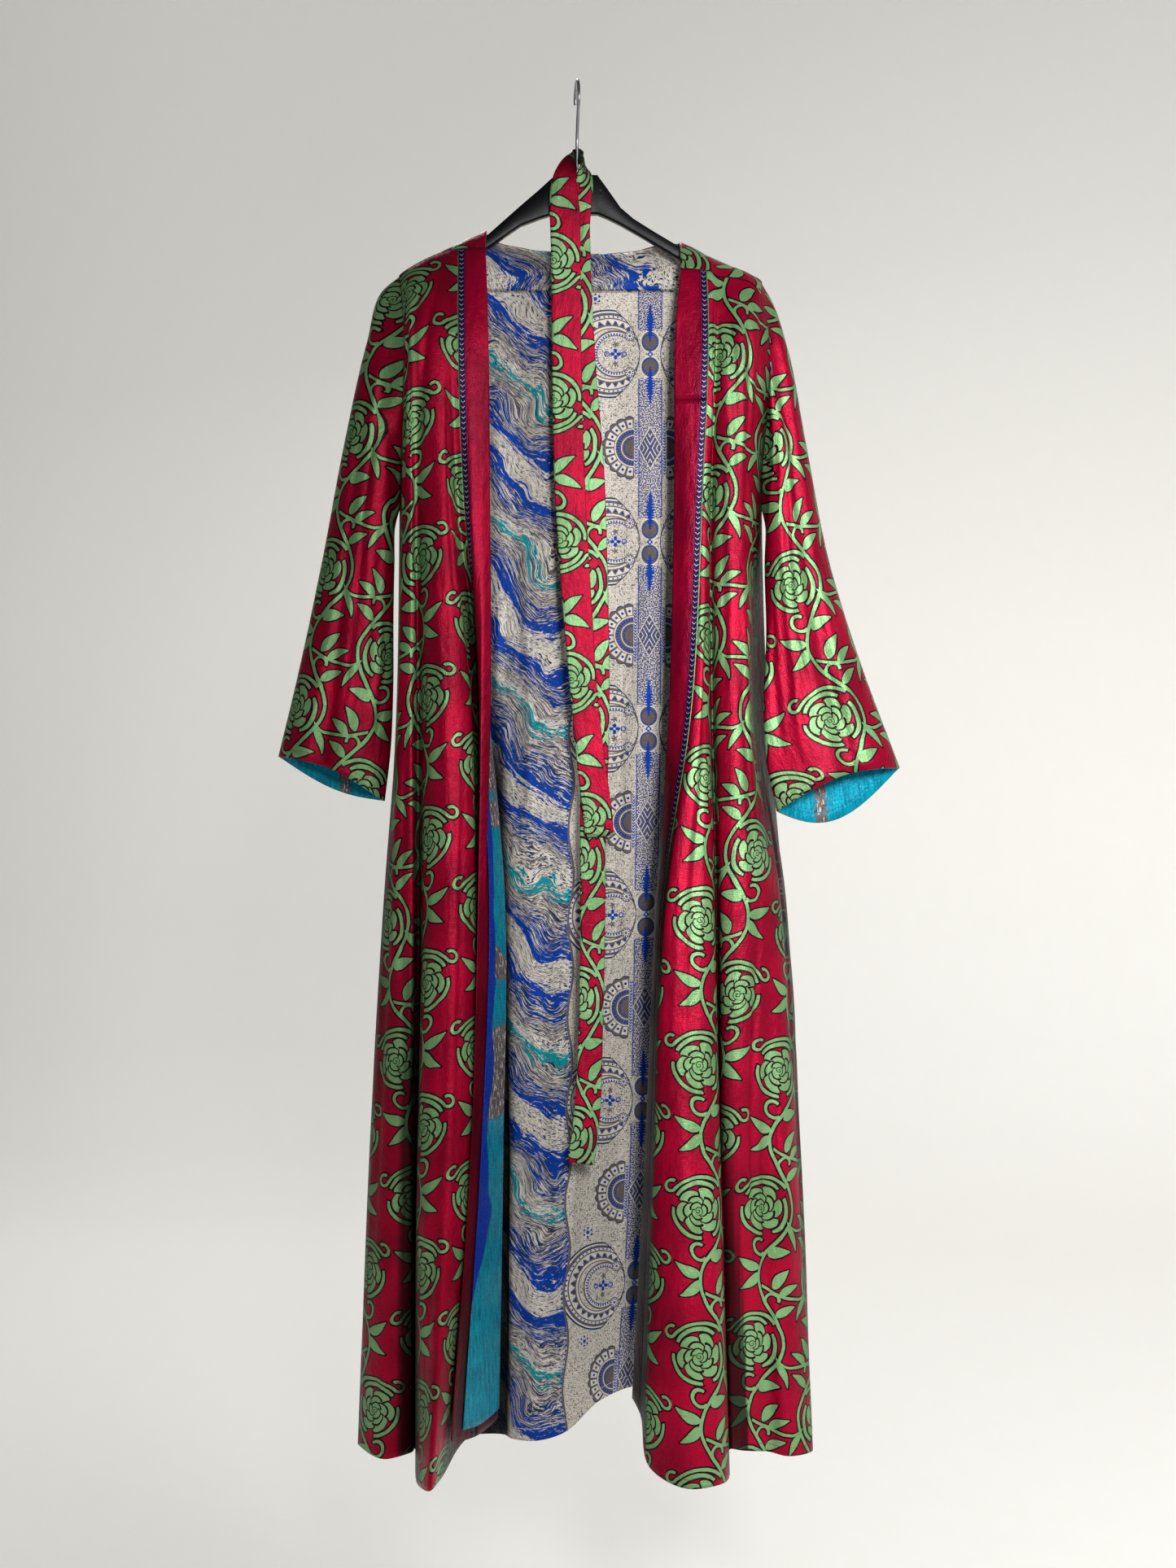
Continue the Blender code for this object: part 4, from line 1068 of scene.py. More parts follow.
backFolds = [
    [-191, 24, -219, -191, 19, -192, 2.5, -196, 4.5, -208, 18.5, -223, 28.5, -235, 40.5, -1482],  # seam
    [-184, 28, -219, -185, 29, -190, 30, -192, 36, -205, 46, -219, 58, -231, 70, -1484],  # turn
    [-168, 30, -219, -169, 31, -174, 36, -175, 48, -177, 58, -185, 72, -190, 84, -1486],  # left rib
    [-146, 31, -219, -146, 31, -143, 34, -143, 42, -145, 50, -148, 60, -153, 62, -1484],  # left dip
    [-119, 31, -219, -119, 33, -116, 40, -113, 50, -112, 58, -112, 72, -114, 84, -1484],  # second rib
    [-97, 31, -219, -96, 32, -92, 36, -86, 42, -81, 50, -79, 60, -80, 68, -1480],  # bulge side
    [-81, 31, -219, -80, 31, -79, 33, -74, 36, -71, 38, -69, 40, -69, 46, -1479],  # bulge left
    [-53, 31, -219, -53, 31, -53, 32, -51, 32, -48, 33, -48, 34, -48, 38, -1479],  # bulge
    [-8, 31, -219, -8, 31, -8, 33, -9, 35, -10, 37, -13, 42, -17, 46, -1473],  # middle
    [36, 31, -219, 36, 32, 36, 35, 35, 40, 32, 46, 29, 54, 26, 60, -1439],  # bulge right
    [81, 31, -219, 81, 33, 81, 39, 80, 48, 77, 56, 73, 68, 69, 78, -1428],  # third rib
    [117, 31, -219, 116, 33, 114, 42, 112, 54, 111, 62, 111, 76, 112, 90, -1440],  # fourth rib
    [143, 31, -219, 143, 32, 142, 37, 142, 45, 144, 50, 149, 58, 152, 62, -1460],  # right dip
    [170, 30, -219, 170, 32, 171, 40, 174, 52, 179, 60, 189, 72, 196, 84, -1475],  # right rib
    [195, 28, -219, 195, 29, 196, 32, 206, 40, 217, 46, 233, 58, 246, 68, -1482],  # turn
    [203, 24, -219, 203, 19, 200, 2.5, 208, 14.5, 224, 12.5, 239, 26.5, 251, 38.5, -1478],  # seam
]

# creases: start and end as (fold, level), sideways bow, width and height
leftCreases = [
    (6.2, 0.3, 8.6, 1.9, 4, 7, -1.6), (9.5, 0.6, 8.7, 2.3, -3, 6, -1.4),
    (5.2, 1.4, 6.4, 2.6, 3, 5, -1.2), (10.6, 1.0, 10.9, 2.2, 2, 4, -1.3),
    (7.6, 2.1, 7.2, 3.6, 3, 6, 1.0), (8.4, 2.6, 8.1, 4.4, -3, 6, -1.5),
    (6.4, 3.0, 6.6, 5.2, 3, 5, -1.1), (10.4, 2.9, 10.2, 4.8, 3, 7, -1.4),
    (7.4, 4.3, 7.8, 5.9, -4, 8, -1.3), (11.4, 3.6, 11.6, 5.6, 4, 8, -1.5),
    (8.7, 4.9, 9.0, 6.0, 3, 7, -1.2), (10.8, 5.2, 11.2, 6.0, -3, 6, 1.1),
    (5.4, 4.6, 5.6, 5.8, 2, 5, -1.0), (7.9, 0.2, 9.4, 1.2, 5, 6, -1.4),
    (11.6, 0.9, 9.9, 2.0, -6, 6, -1.6), (9.4, 2.2, 8.9, 3.3, 4, 5, 1.2),
    (7.0, 2.9, 7.2, 4.1, -2, 4, -1.0), (9.0, 3.4, 9.2, 5.0, 3, 6, -1.4),
    (8.1, 4.4, 8.3, 5.4, -3, 5, 1.1), (9.9, 4.3, 9.6, 6.0, 4, 7, -1.3),
    (12.2, 4.6, 12.1, 5.9, 2, 5, -1.2),
]
rightCreases = [
    (7.4, 0.4, 8.8, 2.0, -4, 6, -1.4), (9.4, 0.7, 9.0, 2.4, 3, 6, -1.5),
    (3.4, 2.4, 4.5, 3.4, 3, 6, -1.1), (4.6, 3.1, 4.3, 4.9, -4, 7, -1.6),
    (3.6, 4.4, 4.7, 5.7, 5, 9, -1.5), (8.4, 2.7, 8.6, 4.3, 4, 7, -1.5),
    (9.6, 3.5, 9.3, 5.4, -4, 8, -1.6), (11.4, 3.2, 11.7, 5.0, 3, 8, -1.5),
    (8.2, 4.6, 8.4, 6.0, 3, 9, -1.3), (12.2, 4.4, 12.4, 5.9, -3, 8, -1.4),
    (5.4, 5.0, 5.2, 6.0, 2, 6, 1.1), (10.5, 5.1, 10.7, 6.0, 2, 8, 1.0),
    (6.8, 0.3, 8.2, 1.3, -5, 6, -1.5), (11.8, 0.8, 9.8, 1.9, 6, 7, -1.6),
    (7.3, 1.7, 7.5, 3.0, 3, 5, -1.2), (8.9, 2.3, 9.2, 3.6, -4, 5, 1.2),
    (4.2, 2.6, 4.0, 4.2, 3, 5, -1.3), (4.8, 4.3, 5.0, 5.6, -3, 6, 1.2),
    (9.1, 4.1, 8.9, 5.5, 3, 6, -1.5), (11.0, 4.5, 11.2, 6.0, -4, 7, -1.5),
    (3.4, 3.6, 3.5, 4.9, 2, 4, 1.0), (12.5, 3.5, 12.3, 4.9, 2, 6, 1.2),
]
backCreases = [
    (1.6, 0.2, 3.4, 1.8, 8, 14, -2.0), (13.4, 0.3, 11.8, 1.9, -8, 14, -2.0),
    (5.2, 1.2, 4.8, 3.2, 5, 13, -1.6), (7.4, 0.9, 7.6, 2.8, -4, 16, -1.3),
    (9.6, 1.1, 9.4, 3.4, 4, 14, -1.5), (6.4, 2.8, 6.6, 5.0, -4, 11, 1.2),
    (8.4, 2.9, 8.2, 5.6, 5, 18, -1.6), (10.5, 2.4, 10.7, 4.6, -5, 13, -1.8),
    (12.4, 2.6, 12.6, 5.2, 4, 12, 1.4), (2.6, 2.5, 2.4, 4.8, 5, 12, -1.8),
    (4.5, 4.0, 4.3, 5.9, -4, 12, -1.5), (13.6, 3.6, 13.4, 5.8, 4, 13, -1.6),
    (9.2, 4.8, 9.0, 6.0, 3, 15, 1.2), (7.2, 4.4, 7.1, 5.9, -3, 12, -1.2),
    (2.2, 0.6, 3.8, 2.6, 9, 10, -2.2), (12.9, 0.7, 11.4, 2.5, -9, 10, -2.0),
    (3.5, 1.9, 3.3, 3.9, 6, 9, 1.8), (4.1, 0.3, 4.6, 1.6, -5, 11, -1.7),
    (11.2, 0.5, 10.8, 1.9, 5, 10, -1.8), (8.1, 1.6, 7.9, 3.1, 3, 10, 1.4),
    (6.8, 1.9, 6.9, 3.8, 4, 9, -1.9), (5.6, 2.2, 5.4, 4.3, -5, 9, -2.0),
    (9.1, 2.2, 9.3, 4.0, 4, 9, -1.9), (11.4, 3.0, 11.1, 5.0, -5, 10, -2.1),
    (3.0, 3.4, 2.8, 5.6, 5, 10, -2.0), (8.0, 3.8, 8.2, 5.9, -4, 11, -1.9),
    (5.0, 4.4, 5.2, 6.0, 4, 9, 1.7), (6.1, 4.9, 6.0, 6.0, -3, 8, -1.6),
    (10.0, 4.4, 10.2, 6.0, 4, 9, -2.0), (12.6, 4.7, 12.8, 6.0, -4, 9, -1.8),
    (1.7, 3.0, 1.5, 5.2, 4, 8, -1.7),
]

# painted shade: the last fold that each painted shade covers, its soft edge, where it starts and is
# full, and its strength
leftPaintedShades = [(3.0, 0.2, -760.0, -1040.0, 0.62)]
rightPaintedShades = [(1.9, 0.3, -600.0, -900.0, 0.72), (2.75, 0.2, -640.0, -880.0, 0.93)]
liningPaintedShades = [(5.6, 0.35, -600.0, -760.0, 0.94)]

rows = np.concatenate([np.linspace(k, k + 1, n + 1)[:-1] for k, n in enumerate(cloth["rows"])]
                      + [[len(cloth["rows"])]])
armholeRow = int(np.argmin(abs(rows - armholeLevel)))
joinRow = int(np.argmin(abs(rows - bandJoin)))
perFold = cloth["columnsPerFold"]


def panelGrid(table, side):
    # a panel's points, which way each faces, and each column's place in folds
    count = (len(table) - 1) * perFold + 1
    columns = np.linspace(0, len(table) - 1, count)
    lines = foldLines(table)
    grid = np.zeros((len(rows), count, 3))
    for j, row in enumerate(rows):
        here = along(lines, np.full(len(lines), row))
        grid[j] = along(np.repeat(here[None], count, 0), columns)
    return {"grid": grid, "way": outward(grid, side), "columns": columns}


def sew(front, back, column, beside):
    # the back's side edge meets the front's below the armhole
    below = slice(armholeRow, None)
    ahead = unit(back["grid"][below, beside] - front["grid"][below, -1])
    back["grid"][below, column] = front["grid"][below, -1] + ahead * cloth["seamGap"]
    mean = unit(front["way"][below, -1] + back["way"][below, column])
    front["way"][below, -1] = mean
    back["way"][below, column] = mean


print("body panels")
left, right, back = (panelGrid(*panel) for panel in (
    (leftFrontFolds, 1), (rightFrontFolds, -1), (backFolds, 1)))
sew(left, back, 0, 1)
sew(right, back, -1, -2)
# the fold that each print is measured from, and the columns that are sewn to others
for panel, creases, datum, sewn in ((left, leftCreases, 7, (-1,)), (right, rightCreases, 4, (-1,)),
                                    (back, backCreases, 8, (0, -1))):
    panel["flat"] = lengths(panel["grid"], datum * perFold)
    panel["grid"] = creased(*(panel[key] for key in ("grid", "way", "flat", "columns")),
                            rows, creases, sewn)


def marksFor(panel, seam, bordered):
    # what the looks read: place in folds, and the way from the hem, the band's seam and any seam
    across, down = panel["flat"][..., 0], panel["flat"][..., 1]
    fold = np.repeat(panel["columns"][None], len(down), 0)
    seamAway = abs(across - across[:, seam][:, None])
    clear = np.minimum(np.minimum(down, abs(across - across[:, -1:])), seamAway + cloth["bandEdge"])
    return {"fold": fold, "hemAway": down[-1:] - down, "seamAway": seamAway, "clear": clear,
            "level": -panel["grid"][..., 2], "bordered": (fold > bordered).astype(float)}


def addPanel(name, panel, look, area, node, lining=False, bordered=99.0, shaded=None):
    # area: the rows and columns; bordered: the fold past which the woven border shows;
    # shaded: 1 where the cloth is seen from the front and -1 from behind, and its painted shades
    marks = marksFor(panel, (area[1].stop or 1) - 1, bordered)
    # painted shade: darker in deep folds and in the panel's listed places
    if shaded:
        marks["shade"] = paintedFoldShade(panel["grid"], *shaded)
    inset, wall = (cloth["liningIn"], cloth["liningWall"]) if lining else (0.0, cloth["wall"])
    points = panel["grid"] - panel["way"] * inset
    settle(makeCloth(name, points[area], panel["way"][area], panel["flat"][area], look, wall,
                     {key: mark[area] for key, mark in marks.items()}), node)


leftSeam, rightSeam = 3 * perFold, 2 * perFold
addPanel("leftFrontCloth", left, outerSilk, np.s_[:, leftSeam:], "front_left",
         bordered=11.9, shaded=(1, leftPaintedShades))
addPanel("rightFrontCloth", right, outerSilk, np.s_[:, rightSeam:], "front_right",
         bordered=11.65, shaded=(1, rightPaintedShades))
addPanel("backCloth", back, outerSilk, np.s_[:, :], "back_panel",
         bordered=-1.0, shaded=(-1, []))
addPanel("leftBandCloth", left, bandSilk, np.s_[:, :leftSeam + 1], "band_left",
         shaded=(1, leftPaintedShades))
addPanel("rightBandUpper", right, bandSilk, np.s_[:joinRow + 1, :rightSeam + 1],
         "band_right_top", shaded=(1, rightPaintedShades))
addPanel("rightBandLower", right, bandSilk, np.s_[joinRow:, :rightSeam + 1], "band_right",
         shaded=(1, rightPaintedShades))
addPanel("backLining", back, liningPrint, np.s_[:, 1:-1], "lining_back",
         lining=True, shaded=(1, liningPaintedShades))
# the fronts' lining stops short of the hem, where the outer cloth is turned up
hemRows = 2
addPanel("leftFrontLining", left, liningFolded, np.s_[:-hemRows, 2 * perFold:-1],
         "lining_front_left", lining=True)
addPanel("rightFrontLining", right, liningTeal, np.s_[:-hemRows, perFold:-1],
         "lining_front_right", lining=True)

print("yoke")
yoke = {
    # x on the front seam, x on the back seam, z over the arm, z at the neck's edge
    "line": [
        [-192, -191, -208, -213], [-187, -187, -204, -210], [-176, -176, -197, -204],
        [-161, -161, -189, -196], [-149, -149, -184, -191], [-141, -141, -180, -187],
        [-132, -132, -176, -183], [-122, -122, -171, -178], [-110, -110, -165, -172],
        [-98, -98, -160, -166], [-78, -78, -160, -172], [-45, -45, -162, -178],
        [-8, -8, -166, -181], [28, 28, -168, -182], [64, 64, -170, -179], [92, 92, -171, -171],
        [111, 111, -172, -171], [125, 125, -178, -179], [140, 141, -187, -188],
        [151, 153, -192, -193], [164, 167, -198, -199], [179, 183, -204, -206],
        [188, 193, -209, -212], [194, 199, -212, -216], [197, 203, -215, -218],
    ],
    # how far each of the six lines across has gone from the front's x to the back's
    "steps": [0, 0.2, 0.5, 0.8, 0.95, 1],
    # the neck's ends, counted in the rows above
    "neckLeft": 9, "neckRight": 16,
    # columns to each row above, rows in all, and how far up the second and fifth lines stand
    "fine": 4, "rows": 40, "frontRise": 0.62, "backRise": 0.45,
    # depth over the arm, at the neck's edge, and how far the cloth leans in behind it
    "topDepth": 1, "neckDepth": 15, "backLean": 0.9,
    # keeps the hem's stitches off
    "hemAway": 20.0,
}


def yokeGrid():
    table = np.array(yoke["line"], float)
    count = (len(table) - 1) * yoke["fine"] + 1
    xFront, xBack, zTop, zNeck = columnsAt(table, np.linspace(0, len(table) - 1, count), range(4))
    edge = np.concatenate([left["grid"][0, ::-1], right["grid"][0]])
    yFront, zFront = (np.interp(xFront, edge[:, 0], edge[:, k]) for k in (1, 2))
    seamLine = foldLines(backFolds)[:, 0]
    seam = along(np.repeat(seamLine[None], count, 0),
                 np.interp(xBack, seamLine[:, 0], np.arange(len(backFolds))))
    rise, lower = yoke["frontRise"], yoke["backRise"]
    ys = [yFront, yFront * rise, 0 * zTop + yoke["topDepth"], 0 * zTop + yoke["neckDepth"],
          seam[:, 1] * yoke["backLean"], seam[:, 1]]
    zs = [zFront, zFront + (zTop - zFront) * rise, zTop, zNeck,
          zNeck * lower + backTop * (1 - lower), seam[:, 2]]
    key = [np.stack([xFront + (xBack - xFront) * s, y, z], 1)
           for s, y, z in zip(yoke["steps"], ys, zs)]
    key = np.array(key).transpose(1, 0, 2)
    steps = np.linspace(0, len(zs) - 1, yoke["rows"] + 1)
    grid = np.array([along(key, np.full(count, s)) for s in steps])
    # the row that runs along the neck's edge
    return grid, outward(grid, 1), int(np.argmin(abs(steps - 3)))


yokePoints, yokeWay, neckRow = yokeGrid()
yokeFlat = lengths(yokePoints)


def besideNeck(i, j):
    return j > neckRow or not yoke["neckLeft"] * yoke["fine"] <= i <= yoke["neckRight"] * yoke["fine"]


yokeDown = yokeFlat[..., 1]
yokeUp = yokeDown[-1:] - yokeDown
yokeMarks = {"hemAway": yokeUp + yoke["hemAway"], "clear": np.minimum(yokeDown, yokeUp)}
for name, depth, look, wall, node, slot in (
        ("yokeCloth", 0.0, outerSilk, cloth["wall"], "yoke", "outer_silk"),
        ("yokeLining", cloth["liningIn"], yokePrint, cloth["liningWall"], "lining_yoke",
         "lining_print")):
    settle(makeCloth(name, yokePoints - yokeWay * depth, yokeWay, yokeFlat, look, wall, yokeMarks,
                     keep=besideNeck), node)

print("sleeves")
sleeve = {
    # x and z of the upper fold, x, z and y of the under fold, y front, y back, sag front, back
    "left": [

        [-210, -225, -196, -478, 0, -29, 25, 0, 0],
        [-227, -280, -197, -519, -2, -32, 24, 0, 0],
        [-251, -387, -198, -580, -4, -34, 22, 0, 2],
        [-276, -519, -198, -651, -6, -36, 20, 2, 4],
        [-301, -637, -201, -725, -8, -37, 18, 6, 7],
        [-323, -729, -207, -777, -9, -37, 17, 11, 11],
    ],
    "right": [
        [211, -237, 203, -478, -2, -30, 25, 0, 0],
        [227, -285, 202, -528, -10, -34, 22, 0, 2],
        [247, -387, 203, -598, -20, -38, 18, 0, 6],
        [273, -519, 200, -659, -29, -42, 14, 3, 13],
        [304, -620, 202, -730, -30, -44, 14, 8, 23],
        [349, -741, 214, -788, -24, -44, 18, 14, 33],
    ],
    "columns": 96, "rows": 72, "armholeGap": -1.6, "armholeSteps": 25,
    # the least way between the armhole's points, and the row at which the lining starts
    "armholeLeast": 0.5, "liningFrom": 6,
    # how full the rings are, how the under fold leaves the upper one, columns as creases count
    "fullness": 0.55, "underCurve": 1.5, "creaseColumns": 24,
    # a fold down the front: its depth, width, and where it starts and ends round the ring
    "foldDepth": 9.0, "foldStart": 0.10, "foldEnd": 0.42, "foldWidth": 0.10, "foldFade": 8,
}

# creases as above; columns run down the front (0 to 12) and up the back (12 to 24)
leftSleeveCreases = [
    (2.6, 0.2, 4.6, 2.6, 5, 10, -2.2), (6.4, 0.3, 7.4, 2.2, -4, 9, -1.8),
    (4.4, 1.6, 7.6, 4.4, -6, 11, -2.0), (8.6, 2.2, 9.0, 5.0, 4, 10, -1.8),
    (2.2, 3.2, 3.2, 5.8, 3, 9, 1.6), (7.4, 4.2, 8.0, 6.0, 3, 10, -1.6),
    (18.4, 0.4, 16.4, 3.2, 5, 12, -2.2), (21.2, 1.4, 20.0, 4.8, -5, 12, -2.0),
    (15.4, 2.8, 15.8, 5.8, 4, 11, -1.8), (9.8, 0.2, 8.2, 1.6, 4, 7, -1.6),
    (3.4, 1.0, 4.9, 3.4, 5, 7, -1.5), (6.0, 2.9, 6.6, 5.2, -4, 7, -1.7),
    (10.4, 3.0, 10.2, 5.6, 4, 6, -1.5), (4.6, 4.4, 5.0, 6.0, 3, 6, -1.3),
    (19.6, 2.4, 18.6, 5.4, -5, 8, -1.8), (17.0, 0.3, 17.6, 2.2, 4, 8, 1.6),
]
rightSleeveCreases = [
    (2.4, 0.2, 4.0, 2.4, -5, 10, -2.0), (6.2, 0.4, 7.6, 2.4, 4, 9, -1.8),
    (4.2, 2.0, 5.4, 4.6, 6, 11, -2.2), (8.2, 2.4, 8.8, 5.2, -4, 10, -1.8),
    (2.4, 3.4, 3.0, 5.8, -3, 9, 1.6), (6.8, 4.0, 7.0, 6.0, -3, 10, -1.6),
    (18.6, 0.4, 16.8, 3.2, -5, 12, -2.2), (21.0, 1.4, 20.2, 4.8, 5, 12, -2.0),
    (15.2, 2.8, 15.6, 5.8, -4, 11, -1.8), (9.6, 0.3, 8.0, 1.7, -4, 7, -1.6),
    (3.2, 1.2, 4.6, 3.5, -5, 7, -1.6), (5.8, 2.6, 6.2, 5.0, 4, 7, -1.7),
    (10.2, 2.8, 10.4, 5.4, -4, 6, -1.6), (4.2, 4.6, 4.6, 6.0, -3, 6, -1.3),
    (7.6, 4.4, 8.6, 5.8, 3, 6, 1.4), (19.4, 2.2, 18.4, 5.2, 5, 8, -1.8),
    (17.2, 0.3, 17.8, 2.2, -4, 8, 1.6),
]


def armhole(front, backLine, yokeEnd):
    # the body's edge round the arm, from the top down the front and up the back
    frontLine = foldLines(front)[-1:]
    count = sleeve["armholeSteps"]
    down = [along(frontLine, np.array([s]))[0] for s in np.linspace(0, armholeLevel, count)]
    up = [along(backLine[None], np.array([s]))[0] for s in np.linspace(armholeLevel, 0, count)]
    over = list(yokeEnd)
    top = int(np.argmax([p[2] for p in over]))
    loop = np.array(over[top::-1] + down + up + over[:top - 1:-1])
    keep = [0]
    for k in range(1, len(loop)):
        if np.linalg.norm(loop[k] - loop[keep[-1]]) > sleeve["armholeLeast"]:
            keep.append(k)
    loop = loop[keep]
    low = int(np.argmin(loop[:, 2]))
    halves = []
    for half in (loop[: low + 1], loop[low:]):
        s = runAlong(half)
        at = np.linspace(0, s[-1], sleeve["columns"] // 2 + 1)
        halves.append(np.stack([np.interp(at, s, half[:, k]) for k in range(3)], 1))
    return np.concatenate([halves[0], halves[1][1:]])


def sleeveGrid(table, start, side):
    # rings from the armhole to the cuff; s runs from the upper fold to the under one and back
    half = sleeve["columns"] // 2
    s = np.concatenate([np.arange(half + 1), np.arange(half - 1, -1, -1)]) / half
    front = np.arange(len(s)) <= half
    bow = np.sin(np.pi * s)
    roundOut = bow ** sleeve["fullness"]
    rings = [start]
    for k, (xt, zt, xu, zu, yu, yf, yb, sagFront, sagBack) in enumerate(table):
        x = xt + (xu - xt) * s
        z = zt + (zu - zt) * s + np.where(front, bow * sagFront, -bow * sagBack)
        centre = yu * s ** sleeve["underCurve"]
        y = centre + np.where(front, (yf - centre) * roundOut, (yb - centre) * roundOut)
        t = (k + 1) / len(table)
        at = sleeve["foldStart"] + (sleeve["foldEnd"] - sleeve["foldStart"]) * t
        dent = np.exp(-(((s - at) / sleeve["foldWidth"]) ** 2))
        dent = dent * np.minimum(1, sleeve["foldFade"] * s * (1 - s))
        y = y + np.where(front, sleeve["foldDepth"] * t * dent, 0)
        rings.append(np.stack([x, y, z], 1))
    key = np.array(rings).transpose(1, 0, 2)
    at = np.linspace(0, len(table), sleeve["rows"] + 1)
    grid = np.array([along(key, np.full(len(s), position)) for position in at])
    grid[:, -1] = grid[:, 0]
    return grid, outward(grid, side, True), at


def sleeveFlat(grid, table):
    # the sleeve laid open about its upper fold, with the grain along that fold
    first, last = np.array(table[0][:2]), np.array(table[-1][:2])
    down = (last - first) / np.linalg.norm(last - first)
    place = grid[..., [0, 2]]
    off = place @ np.array([down[1], -down[0]])
    step = np.hypot(np.diff(off, axis=1), np.diff(grid[..., 1], axis=1))
    return np.stack([summed(step, 1), (place - first) @ down], 2)


def addSleeve(side, hole, way, creases):
    hole[:, 0] += way * sleeve["armholeGap"]
    grid, direction, at = sleeveGrid(sleeve[side], hole, way)
    flat = sleeveFlat(grid, sleeve[side])
    columns = np.linspace(0, sleeve["creaseColumns"], grid.shape[1])
    grid = creased(grid, direction, flat, columns, at, creases)
    grid[:, -1] = grid[:, 0]
    marks = {"hemAway": runAlong(grid[::-1])[::-1], "fold": np.repeat(columns[None], len(grid), 0),
             "clear": runAlong(grid)}
    for name, inset, look, wall, start, node, slot in (
            ("SleeveCloth", 0.0, outerSilk, cloth["wall"], 0, "sleeve_", "outer_silk"),
            ("SleeveLining", cloth["liningIn"], liningTeal, cloth["liningWall"],
             sleeve["liningFrom"], "lining_sleeve_", "lining_teal")):
        piece = makeCloth(side + name, (grid - direction * inset)[start:], direction[start:],
                          flat[start:], look, wall, {k: m[start:] for k, m in marks.items()},
                          closed=True)
        settle(piece, node + side)


backLines = foldLines(backFolds)
addSleeve("left", armhole(leftFrontFolds, backLines[0], yokePoints[:, 0]), -1, leftSleeveCreases)
addSleeve("right", armhole(rightFrontFolds, backLines[-1], yokePoints[:, -1]), 1,
          rightSleeveCreases)

print("belt")
belt = {
    # x, y, z, half width, half thickness, and the width's angle from +X
    "line": [
        [24, -27, -815, 15.8, 1.1, 0], [22, -27, -790, 15.7, 1.1, 0],
        [17, -27, -750, 15.4, 1.1, 0], [9, -26, -678, 14.3, 1.1, 0], [0, -25, -563, 15.8, 1.1, 0],
        [-8, -23, -430, 16.5, 1.1, 0], [-11, -21, -297, 15.8, 1.1, 0],
        [-12, -19.5, -190, 15.8, 1.1, 0], [-13, -18.5, -145, 16.5, 1.2, 0],
        [-14, -17.5, -122, 15.0, 1.4, -4], [-13, -16, -106, 12.4, 1.8, -16],
        [-9.5, -12.5, -95, 10.4, 2.1, -35], [-6.4, -7.2, -88, 8.8, 2.2, -62],
        [-4.5, -1, -83, 7.2, 2.2, -88], [-3.2, 3.2, -80, 8.0, 2.2, -92],
        [0, 4.4, -79, 10.0, 2.2, -90], [3.4, 3.0, -80, 8.0, 2.2, -88],
        [4.7, -1, -84, 6.6, 2.2, -84], [7.0, -5.6, -91, 6.6, 2.1, -74],
        [8.4, -9.8, -101, 7.8, 1.9, -50], [7.2, -11.8, -113, 10.5, 1.6, -20],
        [2.5, -12.8, -128, 14.0, 1.3, 0], [-1, -13.2, -148, 15.8, 1.1, 0],
        [-1, -13.8, -190, 15.8, 1.1, 0], [4, -15, -297, 15.8, 1.1, 0],
        [14, -17, -430, 15.8, 1.1, 0], [18, -19, -563, 15.8, 1.1, 0],
        [20, -20, -670, 15.2, 1.1, 0], [19, -20, -730, 15.0, 1.1, 0],
        [17, -20, -826, 13.8, 1.1, 0], [17, -20, -882, 13.6, 1.1, 0],
        [15, -20, -1014, 13.0, 1.1, 0], [10, -20, -1121, 14.2, 1.1, 0],
        [4, -20, -1166, 14.6, 1.1, 0],
    ],
    # between rings, points round each, the skin, and how square the edges and faces are
    "step": 4.0, "around": 24, "skin": 0.4, "edges": 0.55, "faces": 0.8,
    # painted shade: darker where it is bunched behind the hub
    "wrapShade": 0.78, "wrapLow": -108.0, "wrapHigh": -90.0,
    # what the outer cloth's look reads: how clear of seams it is, and what is added to the way
    # to the nearer end
    "clear": 9.0, "endAway": 4.0,
}


def addBelt():
    table = np.array(belt["line"], float)
    run = runAlong(table[:, :3])
    count = int(run[-1] / belt["step"])
    at = np.interp(np.linspace(0, run[-1], count), run, np.arange(len(table)))
    centre = along(np.repeat(table[None, :, :3], count, 0), at)
    half, thick, angle = columnsAt(table, at, (3, 4, 5))
    ahead = unit(np.gradient(centre, axis=0))
    a = np.radians(angle)
    wide = np.stack([np.cos(a), 0 * a, np.sin(a)], 1)
    wide = unit(wide - ahead * (wide * ahead).sum(1, keepdims=True))
    deep = np.cross(wide, ahead)
    turn = np.linspace(0, math.tau, belt["around"], endpoint=False)
    across = np.sign(np.cos(turn)) * abs(np.cos(turn)) ** belt["edges"]
    through = np.sign(np.sin(turn)) * abs(np.sin(turn)) ** belt["faces"]
    rings = (centre[:, None] + wide[:, None] * (across * half[:, None])[..., None]
             + deep[:, None] * (through * thick[:, None])[..., None])
    # laid flat at its greatest width all round
    closed = np.concatenate([rings, rings[:, :1]], 1)
    around = summed(np.linalg.norm(np.diff(closed, axis=1), axis=2).max(0))
    flat = np.stack(np.meshgrid(around, np.linspace(0, run[-1], count)), 2)
    down = flat[..., 1]
    low, high = belt["wrapLow"], belt["wrapHigh"]
    paintedWrapShade = belt["wrapShade"] * smooth((centre[:, 2] - low) / (high - low))
    marks = {"clear": np.full(down.shape, belt["clear"]),
             "hemAway": np.minimum(down, run[-1] - down) + belt["endAway"],
             "shade": np.repeat(paintedWrapShade[:, None], down.shape[1], 1)}
    piece = loft("beltCloth", rings, outerSilk, flat, marks)
    addWall(piece, belt["skin"])
    settle(piece, "belt")


addBelt()

